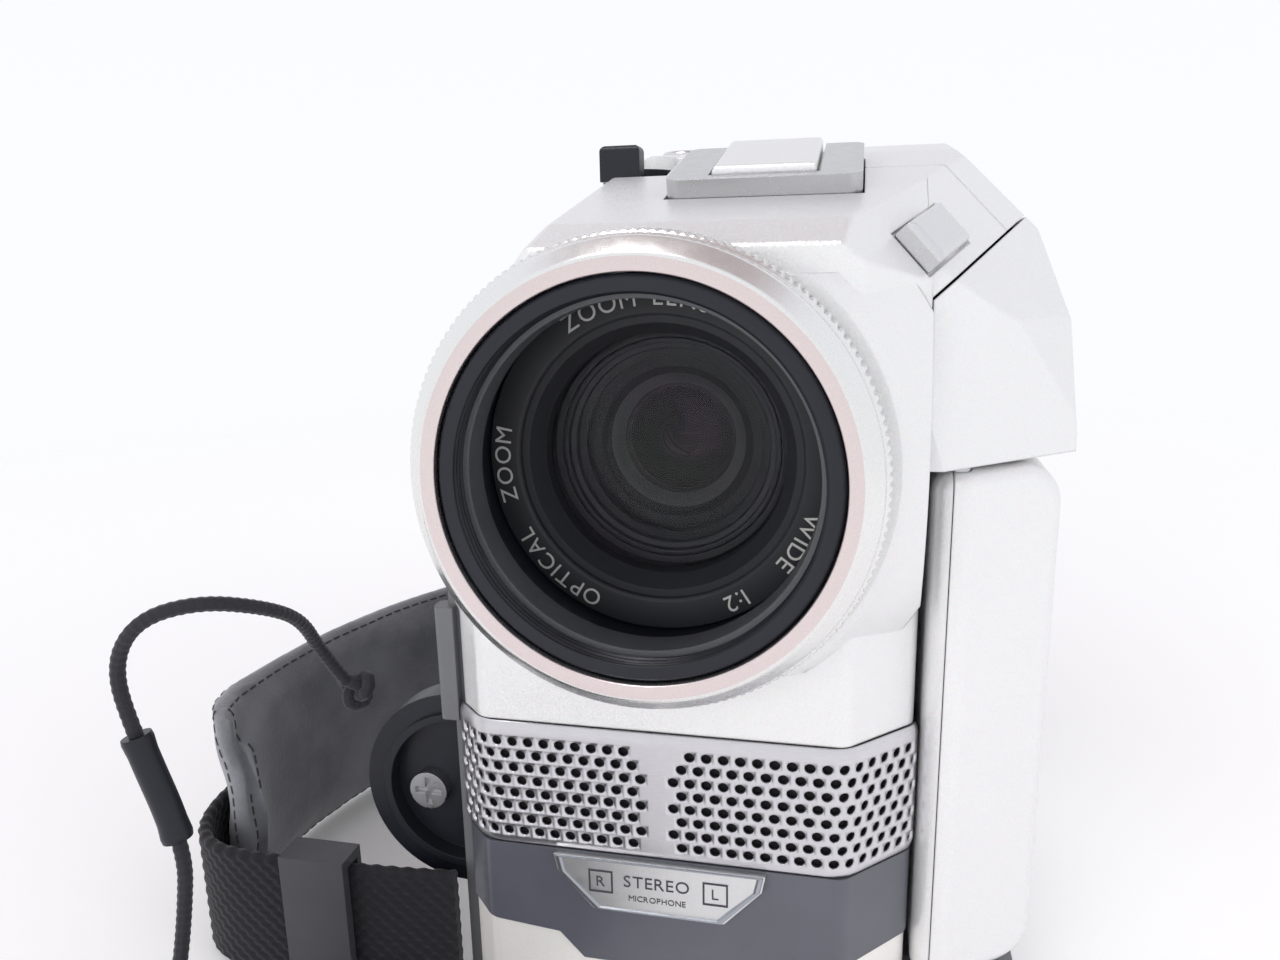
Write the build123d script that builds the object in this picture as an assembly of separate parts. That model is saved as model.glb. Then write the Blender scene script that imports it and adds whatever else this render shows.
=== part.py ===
from build123d import *
import os
from math import hypot, radians, tan

os.makedirs("parts", exist_ok=True)

# Hand-held camcorder. +Z is up, the lens looks along -Y, and the display panel is on the +X side.
# The origin is the mouth of the tripod socket in the base. All sizes are in millimetres.

# ---------------------------------------------------------------- driving dimensions
LENS_Z = 72.0            # height of the lens axis, which lies at X = 0
RING_FRONT = -50.0       # front face of the manual ring
CASE_FRONT = -40.6       # flat front face of the casing
REAR = 52.0              # rear face of the casing
LEFT = -24.8             # hand side of the casing
RIGHT = 28.4             # wall beside the display panel
WIDE = 45.4              # outermost side of the casing above the display panel
TOP = 108.5              # highest point of the casing
FRONT_HALF = 21.0        # half width of the flat front, between its chamfers
WALL = 2.0               # casing wall
SEAM = 0.15              # gap between neighbouring casing pieces
RIDGE = (0, -36.0, 97.4)     # front top edge, where the top starts to rise
FOOT = 0.5               # underside of the base tray, held up by the feet
TRAY_TOP = 7.4
GRILLE = (25.5, 41.5)    # height span of the microphone grille
BAND = (10.8, 25.4)      # height span of the dark band with its middle tongue
PANEL_Z = (8.0, 71.0)    # display panel, bottom and top
PANEL_X = (29.2, 43.6)   # display panel, inner and outer face
PANEL_REAR = 42.0
PIVOT = (32.0, -31.9)    # upright hinge line of the display panel
PIVOT_R = 2.8            # rounded inner corner of the panel about that line
BARREL_R = 17.98         # lens barrel, outside
FLANGE_Y = -36.4         # front face of the barrel's flange, behind the filter ring
FLANGE_R = 17.0          # opening of the filter ring's inner flange
THREAD_R = 18.5          # M37 filter thread
BLACK_R = 20.47          # outside of the black filter ring
KNURL_R = 24.6           # outside of the manual ring
TRIPOD_R = 3.175         # 1/4 inch tripod screw
FINDER_Y, FINDER_Z = 38.5, 95.7     # tilt line of the viewfinder
FINDER_R = 11.2          # half height of the viewfinder
CORD_R = 0.8             # lens cap cord
STRAP_TOP = 18.6         # upper edge of the hand strap's webbing
DOOR_HINGE = (-22.2, 2.9)    # X and Z of the cassette door's hinge, along Y
CAP_AT = (-31.0, -66.0)  # lens cap, lying on the surface
CAP_R = 20.8

# Planes that shape the casing: a point and the outward direction.
MAIN_PLANES = [
    ((FRONT_HALF, CASE_FRONT, 0), (1, -1, 0)),
    ((-FRONT_HALF, CASE_FRONT, 0), (-1, -1, 0)),
    (RIDGE, (0, -0.268, 1)),
    ((0, -2, 106.5), (0, -0.15, 1)),
    (RIDGE, (0, -0.49, 0.87)),
    ((-12, -36, 97.4), (-0.78, -0.12, 0.62)),
    ((20, -36, 97.4), (0.645, -0.448, 0.62)),
]
SIDE_PLANES = [
    (RIDGE, (0, -0.268, 1)),
    ((0, -2, 106.5), (0, -0.15, 1)),
    ((20, -36, 97.4), (0.645, -0.448, 0.62)),
    ((30.6, -31, 89.3), (0.633, -0.751, 0.189)),
    ((33.61, -34.19, 71.2), (0.555, -0.787, 0.269)),
    ((43.6, -27.15, 71.2), (0.769, -0.539, 0.343)),
    ((WIDE, 0, 88), (0.958, -0.05, 0.287)),
    ((42, 0, 97.5), (0.7, -0.1, 0.715)),
]
SHOULDER = ((27.8, -28.6, 94.7), (0.645, -0.448, 0.62), (0.373, 0.891, 0.256))
SEAM_PLANE = ((30.2, -31, 90.4), (0.668, -0.066, -0.741))
SHOE_FACE = ((10.0, -16.0, 102.76), (0, -0.268, 1), (1, 0, 0))


# ---------------------------------------------------------------- helpers
def block(x, y, z):
    """Box between two values on each axis."""
    centre = [(a + b) / 2 for a, b in (x, y, z)]
    return Pos(*centre) * Box(x[1] - x[0], y[1] - y[0], z[1] - z[0])


def rod(axis, radius, span, centre):
    """Cylinder along X, Y or Z; centre holds the other two coordinates."""
    middle = (span[0] + span[1]) / 2
    length = span[1] - span[0]
    if axis == "X":
        return Pos(middle, *centre) * Rot(Y=90) * Cylinder(radius, length)
    if axis == "Y":
        return Pos(centre[0], middle, centre[1]) * Rot(X=90) * Cylinder(radius, length)
    return Pos(*centre, middle) * Cylinder(radius, length)


def tube(axis, outer, inner, span, centre):
    return rod(axis, outer, span, centre) - rod(axis, inner, (span[0] - 1, span[1] + 1), centre)


def turned(profile, x=0.0, z=LENS_Z):
    """Ring turned about an axis along Y from (radius, y) points."""
    face = make_face(Polyline(*profile, close=True))
    return Pos(x, 0, z) * revolve(face, Axis.Y)


def plate(points, axis, span):
    """Polygon pushed along an axis. Its points hold the other two coordinates in order."""
    low, high = span
    if axis == "X":
        face = make_face(Polyline(*[(low, a, b) for a, b in points], close=True))
        return extrude(face, high - low, dir=(1, 0, 0))
    if axis == "Y":
        face = make_face(Polyline(*[(a, low, b) for a, b in points], close=True))
        return extrude(face, high - low, dir=(0, 1, 0))
    face = make_face(Polyline(*[(a, b, low) for a, b in points], close=True))
    return extrude(face, high - low, dir=(0, 0, 1))


def cut_back(solid, planes, inset=0.0):
    """Keep what lies behind every plane, each plane moved inwards by inset."""
    for point, normal in planes:
        outward = Vector(*normal).normalized()
        origin = Vector(*point) - outward * inset
        solid = split(solid, bisect_by=Plane(origin=origin, z_dir=outward), keep=Keep.BOTTOM)
    return solid


def keep_side(solid, plane, gap):
    """Part of a solid on the side that the plane's normal points to, set back by gap."""
    point, normal = plane
    outward = Vector(*normal).normalized()
    origin = Vector(*point) + outward * gap
    return split(solid, bisect_by=Plane(origin=origin, z_dir=outward), keep=Keep.TOP)


def main_piece(body):
    """Largest solid of a shape."""
    return max(body.solids(), key=lambda solid: solid.volume)


def soften(solid, edges, *radii):
    """Round edges with the first radius that works."""
    for radius in radii:
        try:
            rounded = fillet(edges, radius)
            if rounded.is_valid and rounded.volume > 0.5 * solid.volume:
                return rounded
        except Exception:
            continue
    print("not rounded:", len(edges), "edges")
    return solid


def ribbon(points, thickness, span):
    """Upright strip that follows plan points, with smooth faces."""
    inner, outer = [], []
    last = len(points) - 1
    for place, (x, y) in enumerate(points):
        before = points[max(place - 1, 0)]
        after = points[min(place + 1, last)]
        dx, dy = after[0] - before[0], after[1] - before[1]
        size = hypot(dx, dy)
        shift = (-dy / size * thickness / 2, dx / size * thickness / 2)
        inner.append((x + shift[0], y + shift[1]))
        outer.append((x - shift[0], y - shift[1]))
    sides = [Spline(*inner), Line(inner[-1], outer[-1]), Spline(*outer[::-1]), Line(outer[0], inner[0])]
    face = make_face(Wire(sum((side.edges() for side in sides), [])))
    return Pos(0, 0, span[0]) * extrude(face, span[1] - span[0], dir=(0, 0, 1))


def save(name, shape):
    export_step(shape, f"parts/{name}.step")


# ---------------------------------------------------------------- casing
def main_block(inset=0.0, bottom=TRAY_TOP + 2 * SEAM):
    """Lens side of the body; inset 0 or less gives the outside with its rounded edges."""
    solid = block((LEFT + inset, RIGHT - inset), (CASE_FRONT + inset, REAR - inset),
                  (bottom, TOP - inset))
    solid = cut_back(solid, MAIN_PLANES, inset)
    if inset > 0:
        return solid
    upright = solid.edges().filter_by(Axis.Z).filter_by_position(Axis.Y, -45, -30)
    solid = soften(solid, upright, 2.4, 1.6, 1.0)
    crown = [edge for edge in solid.edges() if edge.center().Z > 85 and edge.center().X < RIGHT - 0.5]
    return soften(solid, crown, 1.2, 0.8, 0.5)


def side_block(inset=0.0, inward=28.2):
    """Wide upper part of the body, above the display panel."""
    solid = block((inward, WIDE - inset), (-36.0 + inset, REAR - 4 - inset),
                  (PANEL_Z[1] + 0.4 + inset, TOP - inset))
    solid = cut_back(solid, SIDE_PLANES, inset)
    if inset > 0:
        return solid
    facets = [edge for edge in solid.edges() if edge.center().X > 30 and edge.center().Z > 74]
    return soften(solid, facets, 1.4, 0.9, 0.5)


def finder_notch(grow=0.0):
    return block((-13 - grow, 13 + grow), (26 - grow, 60), (82 - grow, 120))


def lens_cone():
    """Sloped collar that the casing makes around the ring."""
    collar = turned([(19, -42.4), (25.6, -42.4), (26.6, -41.6), (32.5, -35.0), (19, -35.0)])
    shoulders = cut_back(block((LEFT, RIGHT), (-43, -34.2), (50, 92)), MAIN_PLANES[5:])
    bounds = block((LEFT, RIGHT), (-43, -34.9), (40, 97.4))
    return collar & (main_block(-0.01) + shoulders) & bounds


def casing_shell():
    outer = main_block() + side_block() + lens_cone() - finder_notch()
    inner = main_block(WALL, TRAY_TOP - 1) + side_block(WALL, 24.0) - finder_notch(WALL)
    return outer - inner


def front_skin(outset, inset, height):
    """Thin skin of the casing's front, down to the base."""
    outer = main_block(-outset, 0)
    inner = main_block(inset, -1)
    window = block((-60, 0), (-60, -36.0), height) + block((-1, 60), (-60, -31.5), height)
    return (outer - inner) & window


def tongue_outline(grow=0.0):
    """Front view of the dark band, whose middle reaches lower."""
    low = BAND[0] - grow
    return [(-32, BAND[1]), (32, BAND[1]), (32, 14.6 - grow), (13.6, 13.4 - grow),
            (10.6, low), (-9.4, low), (-12.4, 14.0 - grow), (-32, 15.8 - grow)]


def build_casing():
    shell = casing_shell()
    shell = shell - rod("Y", BLACK_R + 0.02, (-45, -30), (0, LENS_Z))
    for outset, inset, height in ((1, 1.55, GRILLE), (1, 1.05, (0, GRILLE[0]))):
        shell = shell - front_skin(outset, inset, height)
    for x in (-12.5, 12.5):
        shell = shell - rod("Y", 4.2, (-45, -34), (x, 33.5))

    rear_cover = main_piece(shell & block((-60, 60), (46 + SEAM, 60), (0, TOP + 5)))
    body = shell - block((-60, 60), (46, 60), (0, TOP + 5))
    right_part = block((RIGHT + SEAM, 60), (-60, 60), (PANEL_Z[1], 130))
    right_casing = main_piece(keep_side(body & right_part, SEAM_PLANE, SEAM))
    rest = body - keep_side(body & block((RIGHT, 60), (-60, 60), (60, 130)), SEAM_PLANE, -SEAM)
    rest = rest - block((-60, LEFT + WALL), (-33.5, 60), (0, 76))
    top_cover = main_piece(rest & block((-60, 60), (-12 + SEAM, 60), (76 + SEAM, 130)))
    front_casing = main_piece(rest - block((-60, 60), (-12 - SEAM, 60), (76 - SEAM, 130)))
    return front_casing, top_cover, right_casing, rear_cover


def build_left_cover():
    """Grey cover on the hand side, with a finger tab at its front edge."""
    cover = block((LEFT - 1.6, LEFT), (-35.8, 45.8), (2.0, 75.8))
    cover = cover + block((LEFT - 0.05, LEFT + WALL - 0.1), (-33.3, 45.8), (8.0, 75.8))
    cover = cover + block((LEFT - 3.2, LEFT - 0.65), (-37.0, -34.4), (38.8, 53.4))
    cover = cover - block((LEFT + 0.2, LEFT + 3), (-30, 42), (12, 72))
    lug = block((LEFT - 6.2, LEFT - 1.6), (38, 45.4), (2, 22))
    cover = cover + lug - block((LEFT - 4.2, LEFT - 2.6), (36, 50), (3.4, 20.6))
    tab_edges = cover.edges().filter_by(Axis.Z).filter_by_position(Axis.X, LEFT - 3.3, LEFT - 3.1)
    return soften(cover, tab_edges, 0.8, 0.4)


def build_trims():
    grille = front_skin(0.55, 1.0, (GRILLE[0] + 0.1, GRILLE[1] - 0.1))
    window = plate(tongue_outline(), "Y", (-60, -30))
    band = front_skin(0.25, 1.0, (0, GRILLE[0])) & window
    lower = front_skin(0.0, 1.0, (1.2, GRILLE[0] - 1)) - plate(tongue_outline(0.2), "Y", (-60, -30))
    plaque = plate([(-12.5, 25.2), (12.5, 25.2), (12.1, 23.2), (7.8, 18.5), (-7.8, 18.5), (-12.1, 23.2)],
                   "Y", (CASE_FRONT - 1.1, CASE_FRONT - 0.26))
    return main_piece(grille), main_piece(band), main_piece(lower), plaque


def base_outline(inset):
    """Plan of the base tray: under the lens side and under the display panel."""
    main = block((LEFT + inset, RIGHT - 1.2), (CASE_FRONT + 1.1 + inset, REAR - inset), (FOOT, TRAY_TOP))
    main = cut_back(main, MAIN_PLANES[:2], inset + 1.2)
    side = block((RIGHT + 0.3 + inset, 42 - inset), (-34.0 + inset, REAR - 8 - inset), (FOOT, TRAY_TOP))
    bridge = block((10, 38), (-30.5 + inset, REAR - 8 - inset), (FOOT, TRAY_TOP))
    return main + bridge + cut_back(side, [((33.2, -34.0, 0), (0.5757, -0.8175, 0))], inset)


def build_base():
    outer = base_outline(0.0)
    low_edges = outer.edges().group_by(Axis.Z)[0]
    outer = soften(outer, low_edges, 2.0, 1.2, 0.8)
    tray = outer - Pos(0, 0, 2.0) * base_outline(2.0)
    tray = tray - block((LEFT - 1, -7.5), (-20.5, 46.5), (0, TRAY_TOP + 1))
    for y in ((-22.5, -20.5), (46.5, 48.5)):
        tray = tray + block((LEFT + 0.2, -18), y, (FOOT + 0.3, 6.0))
    tray = tray - rod("Y", 0.9, (-23, 49), DOOR_HINGE)
    tray = tray + rod("Z", 7.2, (FOOT, TRAY_TOP), (0, 0)) - rod("Z", 5.5, (0, 9), (0, 0))
    tray = tray + rod("Z", 3.0, (FOOT + 1, TRAY_TOP), (PIVOT[0] + 0.6, PIVOT[1] + 0.9))
    tray = tray - rod("Z", 1.2, (FOOT + 1, TRAY_TOP + 1), PIVOT)
    tray = tray - block((-18.0, -10.0), (-30.8, -26.2), (0, 3))
    return main_piece(tray)


def build_tripod_socket():
    insert = rod("Z", 5.5, (0, 7.0), (0, 0)) + rod("Z", 6.8, (0, FOOT), (0, 0))
    return insert - rod("Z", TRIPOD_R, (-1, 6.0), (0, 0))


def build_feet():
    places = [(-18, -34), (24, -31), (35, 37), (0, 40)]
    return Compound(children=[rod("Z", 3.2, (0, FOOT), place) for place in places])


# ---------------------------------------------------------------- lens
def build_manual_ring():
    front, back = RING_FRONT, -42.8
    bore = BLACK_R + 0.08
    profile = [(bore, front), (22.3, front), (23.9, -48.3), (23.9, -47.4), (KNURL_R, -47.0),
               (KNURL_R, -43.4), (23.9, back), (bore, back)]
    return turned(profile)


def build_filter_ring():
    """Black ring: thread in front, then an inner flange with a wider chamber behind it."""
    flange = (-44.4, -43.0)
    chamber_r = 19.5
    profile = [(THREAD_R, -49.4), (20.1, -49.4), (BLACK_R, -49.0), (BLACK_R, FLANGE_Y - 0.1),
               (chamber_r, FLANGE_Y - 0.1), (chamber_r, flange[1]), (FLANGE_R, flange[1]),
               (FLANGE_R, flange[0]), (THREAD_R, flange[0])]
    return turned(profile)


def build_name_ring():
    """Flat ring at the back of the chamber, round the front glass."""
    front = FLANGE_Y - 0.9
    return turned([(15.8, front), (19.3, front), (19.3, FLANGE_Y - 0.1), (15.8, FLANGE_Y - 0.1)])


def lens_glass(radius, front, back, front_curve, back_curve):
    """Glass element: a disc between two spherical faces."""
    glass = rod("Y", radius, (front, back), (0, LENS_Z))
    glass = glass & (Pos(0, front + front_curve, LENS_Z) * Sphere(front_curve))
    return glass & (Pos(0, back - back_curve, LENS_Z) * Sphere(back_curve))


def build_lens():
    axis = (0, LENS_Z)
    rods = [(-15.4, LENS_Z), (15.4, LENS_Z)]
    cell_rear = -29.0
    barrel = tube("Y", BARREL_R, 16.8, (FLANGE_Y, -4.0), axis)
    barrel = barrel + tube("Y", 22.0, BARREL_R - 1, (FLANGE_Y, FLANGE_Y + 1.8), axis)
    barrel = barrel + turned([(13.8, -33.8), (15.0, FLANGE_Y), (16.9, FLANGE_Y), (16.9, cell_rear),
                              (13.0, cell_rear), (13.0, -30.0), (13.8, -30.0)])
    guide_rods = [rod("Y", 0.8, (cell_rear + 0.1, -4.0), place) for place in rods]
    save("lens_barrel", Compound(children=[main_piece(barrel)] + guide_rods))
    save("front_glass", lens_glass(13.75, -36.0, -30.4, 26, 70))
    ears = block((-16.4, 16.4), (-26, -21), (LENS_Z - 2.5, LENS_Z + 2.5))
    short_ears = Pos(0, 16.5, 0) * (ears & block((-20, 20), (-26, -22), (0, 99)))
    zoom = (rod("Y", 14.2, (-26, -21), axis) + ears) - rod("Y", 9.2, (-30, -20), axis)
    focus = (rod("Y", 14.2, (-9.5, -5.5), axis) + short_ears) - rod("Y", 8.2, (-12, -4), axis)
    for place in rods:
        zoom = zoom - rod("Y", 0.86, (-30, -18), place)
        focus = focus - rod("Y", 0.86, (-12, -3), place)
    bore = rod("Y", 16.6, (-40, 0), axis)
    zoom_glass = lens_glass(9.15, -26.4, -21.4, 20, 30)
    save("zoom_group", Compound(children=[main_piece(zoom & bore), main_piece(zoom_glass)]))
    focus_glass = lens_glass(8.15, -9.6, -5.6, 24, 24)
    save("focus_group", Compound(children=[main_piece(focus & bore), main_piece(focus_glass)]))
    mount = rod("Y", BARREL_R, (-3.95, -1.8), axis) - block((-4, 4), (-5, 0), (69, 75))
    sensor = block((-9, 9), (-1.75, 3.2), (64, 80)) + block((-3.9, 3.9), (-3.6, -1.7), (69.1, 74.9))
    save("image_sensor", Compound(children=[main_piece(mount), main_piece(sensor)]))


# ---------------------------------------------------------------- display panel
def panel_solid(x, y_rear, inset=0.0):
    """Plan of the display panel: flat inner face, round hinge corner and slanted front."""
    px, py = PIVOT
    nose = (px + PIVOT_R * 0.5757, py - PIVOT_R * 0.8175)
    slope = 0.7042
    outer_front = (PANEL_X[1], nose[1] + (PANEL_X[1] - nose[0]) * slope)
    with BuildLine() as line:
        Line((PANEL_X[0], y_rear), (PANEL_X[0], py))
        RadiusArc((PANEL_X[0], py), nose, -PIVOT_R)
        Line(nose, outer_front)
        Line(outer_front, (PANEL_X[1], y_rear))
        Line((PANEL_X[1], y_rear), (PANEL_X[0], y_rear))
    face = make_face(line.line)
    if inset:
        face = offset(face, -inset, kind=Kind.INTERSECTION)
    height = (PANEL_Z[0] + inset, PANEL_Z[1] - inset)
    solid = Pos(0, 0, height[0]) * extrude(face, height[1] - height[0], dir=(0, 0, 1))
    return solid & block(x, (-60, 60), (0, 99))


def build_panel():
    split_x = 31.3
    outer = panel_solid((0, 60), PANEL_REAR)
    side_edges = outer.edges().filter_by(Axis.Y).group_by(Axis.X)[-1]
    outer = soften(outer, side_edges, 5.0, 3.0, 1.5)
    rear_edges = outer.edges().filter_by(Axis.Z).group_by(Axis.X)[-1]
    outer = soften(outer, rear_edges, 2.5, 1.5, 0.8)
    hollow = panel_solid((0, 60), PANEL_REAR, 1.8)
    screen_y, screen_z = (-20.0, 34.0), (17.5, 59.5)
    shell = outer - hollow
    back = main_piece(shell & block((split_x + 0.05, 60), (-60, 60), (0, 99)))
    bezel = main_piece(shell & block((0, split_x - 0.05), (-60, 60), (0, 99)))
    bezel = bezel - block((20, split_x), screen_y, screen_z)
    bolt = rod("Z", 1.26, (PANEL_Z[0] - 1, PANEL_Z[1] + 1), PIVOT)
    inside = panel_solid((split_x + 0.05, 60), PANEL_REAR, 1.7)
    for span in ((PANEL_Z[0] + 1, PANEL_Z[0] + 12), (PANEL_Z[1] - 12, PANEL_Z[1] - 1)):
        boss = rod("Z", 2.6, span, PIVOT) + rod("Z", 3.0, span, (PIVOT[0] + 2.4, PIVOT[1] + 1.0))
        back = back + (boss & inside)
    save("display_back_shell", main_piece(back - bolt))
    save("display_bezel", main_piece(bezel - bolt))
    grow = 1.5
    sheet_y = (screen_y[0] - grow, screen_y[1] + grow)
    sheet_z = (screen_z[0] - grow, screen_z[1] + grow)
    save("display_screen", block((split_x + 0.1, split_x + 4.6), sheet_y, sheet_z))
    low = rod("Z", 1.2, (FOOT + 1, PANEL_Z[0] + 10), PIVOT)
    high = rod("Z", 1.2, (PANEL_Z[1] - 10, PANEL_Z[1] + 2.2), PIVOT)
    return [low, high]


# ---------------------------------------------------------------- viewfinder
def finder_shape(inset, x_half, rear):
    low, high = FINDER_Z - FINDER_R + inset, FINDER_Z + FINDER_R - inset
    front = rod("X", FINDER_R - inset, (-x_half + inset, x_half - inset), (FINDER_Y, FINDER_Z))
    return front + block((-x_half + inset, x_half - inset), (FINDER_Y, rear), (low, high))


def build_finder():
    axis = (FINDER_Y, FINDER_Z)
    carriage = block((-12.5, 12.5), (30, 50), (82.3, 84.0))
    for side in (-1, 1):
        near, far = sorted((side * 10.95, side * 12.5))
        carriage = carriage + block((near, far), (34.5, 42.5), (82.3, 99))
        near, far = sorted((side * 8.2, side * 11.2))
        carriage = carriage + rod("X", 1.5, (near, far), axis)
    save("finder_carriage", carriage)
    housing = finder_shape(0.0, 10.6, 66.0)
    long_edges = housing.edges().filter_by(Axis.Y)
    housing = soften(housing, long_edges, 3.0, 1.5)
    housing = housing - finder_shape(1.6, 10.6, 68.0)
    housing = housing + block((-9.2, 9.2), (60, 65.9), (FINDER_Z - 9.8, FINDER_Z + 9.8))
    housing = housing - rod("Y", 6.6, (59, 67), (0, FINDER_Z)) - rod("X", 1.56, (-12, 12), axis)
    save("finder_housing", main_piece(housing))
    cup_outer = loft([Plane.XZ.offset(-66.1) * Pos(0, FINDER_Z) * RectangleRounded(21, 22, 4),
                      Plane.XZ.offset(-76.0) * Pos(0, FINDER_Z) * RectangleRounded(27, 28, 7)])
    cup_inner = loft([Plane.XZ.offset(-66.0) * Pos(0, FINDER_Z) * RectangleRounded(15, 16, 4),
                      Plane.XZ.offset(-76.1) * Pos(0, FINDER_Z) * RectangleRounded(23.4, 24.4, 6)])
    save("finder_eyecup", cup_outer - cup_inner)
    glass = rod("Y", 6.55, (60.6, 65.0), (0, FINDER_Z)) & (Pos(0, 47.0, FINDER_Z) * Sphere(18.0))
    save("finder_glass", glass)
    lever_x = (-12.3, -10.7)
    finger = block(lever_x, (57.2, 58.8), (FINDER_Z, FINDER_Z + 6))
    save("diopter_lever", rod("X", 3.4, lever_x, (58, FINDER_Z)) + finger)


# ---------------------------------------------------------------- controls
def tilted(plane_data, shape):
    """Put a shape drawn on the XY plane onto a slanted face; its X axis runs along the face."""
    point, normal, along = plane_data
    return Plane(origin=point, x_dir=along, z_dir=normal).location * shape


def build_controls(front_casing, top_cover, rear_cover):
    # Shoulder slider in its slot
    knob = Pos(0, 0, 1.0) * Box(9.0, 5.2, 3.0)
    knob = soften(knob, knob.edges().group_by(Axis.Z)[-1], 0.8, 0.4)
    slot = Pos(1.75, 0, 1.8) * Box(13.4, 6.0, 6.0)
    front_casing = front_casing - tilted(SHOULDER, slot)
    right_slot = tilted(SHOULDER, slot)
    save("shoulder_slider", tilted(SHOULDER, Pos(-0.2, 0, -0.1) * knob))

    # Accessory shoe, flush with the sloped top, and its cover that slides off to the rear
    half, end, floor, roof = 11.0, 10.0, -4.6, 2.1
    slot = (-0.75, 1.35)
    shoe = block((-half, half), (-end, end), (floor, roof))
    shoe = soften(shoe, shoe.edges().filter_by(Axis.Z), 1.5, 0.8)
    shoe = shoe - block((-9.35, 9.35), (-8.0, end + 1), slot)
    shoe = shoe - block((-6.3, 6.3), (-8.0, end + 1), (slot[0], roof + 1))
    save("accessory_shoe", tilted(SHOE_FACE, shoe))
    plate_z = (0.2, slot[1] - 0.2)
    cover = block((-9.0, 9.0), (-7.7, end - 0.2), plate_z)
    cover = cover + block((-5.9, 5.9), (-7.7, end - 0.2), (plate_z[0], roof + 0.9))
    cover = soften(cover, cover.edges().group_by(Axis.Z)[-1], 0.7, 0.4)
    save("shoe_cover", tilted(SHOE_FACE, cover))
    cavity = block((-half - 0.2, half + 0.2), (-end - 0.2, end + 0.2), (floor - 0.2, 20))
    foot_path = block((-9.5, 9.5), (end - 1, 40), (slot[0] - 0.05, 20))
    for cut in (cavity, foot_path):
        front_casing = front_casing - tilted(SHOE_FACE, cut)
        top_cover = top_cover - tilted(SHOE_FACE, cut)

    # Zoom lever on the hand side of the top
    zoom_at, disc = (-10.5, 3.0), (103.2, 105.6)
    lever = rod("Z", 5.0, disc, zoom_at)
    lever = lever + block((-12.4, -8.6), (-6.4, 3.0), (disc[0] + 0.4, disc[1]))
    lever = lever + block((-13.2, -7.8), (-8.2, -5.2), (disc[0] + 0.4, 108.2))
    lever = lever + rod("Z", 1.5, (98.5, disc[0] + 0.1), zoom_at)
    save("zoom_lever", soften(lever, lever.edges().group_by(Axis.Z)[-1], 0.8, 0.4))
    pocket_floor = disc[0] - 0.4
    pocket = rod("Z", 5.5, (pocket_floor, 125), zoom_at) + block((-20, -3.4), (-13, 3.0), (pocket_floor, 125))
    post = rod("Z", 3.2, (98.4, pocket_floor), zoom_at)
    hole = rod("Z", 1.56, (95, 110), zoom_at)
    top_cover = top_cover - pocket + post - hole

    # Still picture button
    button_at = (-6.0, 17.0)
    button = rod("Z", 3.6, (104, 109.4), button_at) + rod("Z", 4.4, (103.0, 104.2), button_at)
    save("photo_button", soften(button, button.edges().group_by(Axis.Z)[-1], 0.7, 0.4))
    top_cover = top_cover - rod("Z", 3.9, (101, 112), button_at)

    # Thumb controls on the rear
    dial_at = (-15.0, 71.0)
    dial = tube("Y", 8.4, 5.6, (REAR + 0.4, REAR + 4.4), dial_at)
    grip = block((dial_at[0] - 1.2, dial_at[0] + 1.2), (REAR + 0.4, REAR + 5.4), (78.0, 80.8))
    save("mode_dial", dial + grip)
    stem = rod("Y", 4.3, (REAR - 4.0, REAR + 5.2), dial_at)
    flange = rod("Y", 6.0, (REAR - 5.0, REAR - 3.6), dial_at)
    save("record_button", stem + flange)
    rear_cover = rear_cover - rod("Y", 4.6, (40, 60), dial_at)
    menu_at = (-18.0, 54.5)
    save("menu_button", rod("Y", 2.6, (REAR - 3.0, REAR + 1.6), menu_at) +
         rod("Y", 3.6, (REAR - 4.2, REAR - 3.0), menu_at))
    rear_cover = rear_cover - rod("Y", 2.9, (40, 60), menu_at)

    # Connector cover and the sockets behind it
    flap_hinge = (-23.2, REAR + 1.4)
    cover = block((flap_hinge[0], -11.0), (REAR + 0.5, REAR + 2.3), (12, 44))
    cover = cover + rod("Z", 1.1, (12, 44), flap_hinge) - rod("Z", 0.56, (11, 45), flap_hinge)
    save("connector_cover", cover)
    connector_pin = rod("Z", 0.5, (10, 46), flap_hinge)
    for z in (10.2, 44.4):
        rear_cover = rear_cover + block((-24.2, -22.2), (REAR - 1, REAR + 2.4), (z, z + 1.4))
    rear_cover = rear_cover - connector_pin
    rear_cover = rear_cover - rod("Y", 3.0, (REAR - 1.5, 60), (-17, 20))
    rear_cover = rear_cover - block((-19.5, -14.5), (REAR - 1.5, 60), (30, 38))

    # Battery catch
    save("battery_catch", block((-9.6, -5.6), (REAR + 0.4, REAR + 2.8), (24, 36)) +
         block((-8.6, -6.6), (REAR - 3, REAR + 1), (28, 32)))
    rear_cover = rear_cover - block((-9.2, -6.0), (40, 60), (24.4, 32.6))
    return front_casing, top_cover, rear_cover, right_slot, connector_pin


def build_battery():
    pack = block((-4, 27), (REAR + 0.5, REAR + 20.5), (8, 62))
    pack = soften(pack, pack.edges().filter_by(Axis.Z).group_by(Axis.Y)[-1], 4.0, 2.0)
    pack = soften(pack, pack.edges().group_by(Axis.Z)[-1] + pack.edges().group_by(Axis.Z)[0], 1.0, 0.6)
    save("battery_pack", pack)


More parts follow.
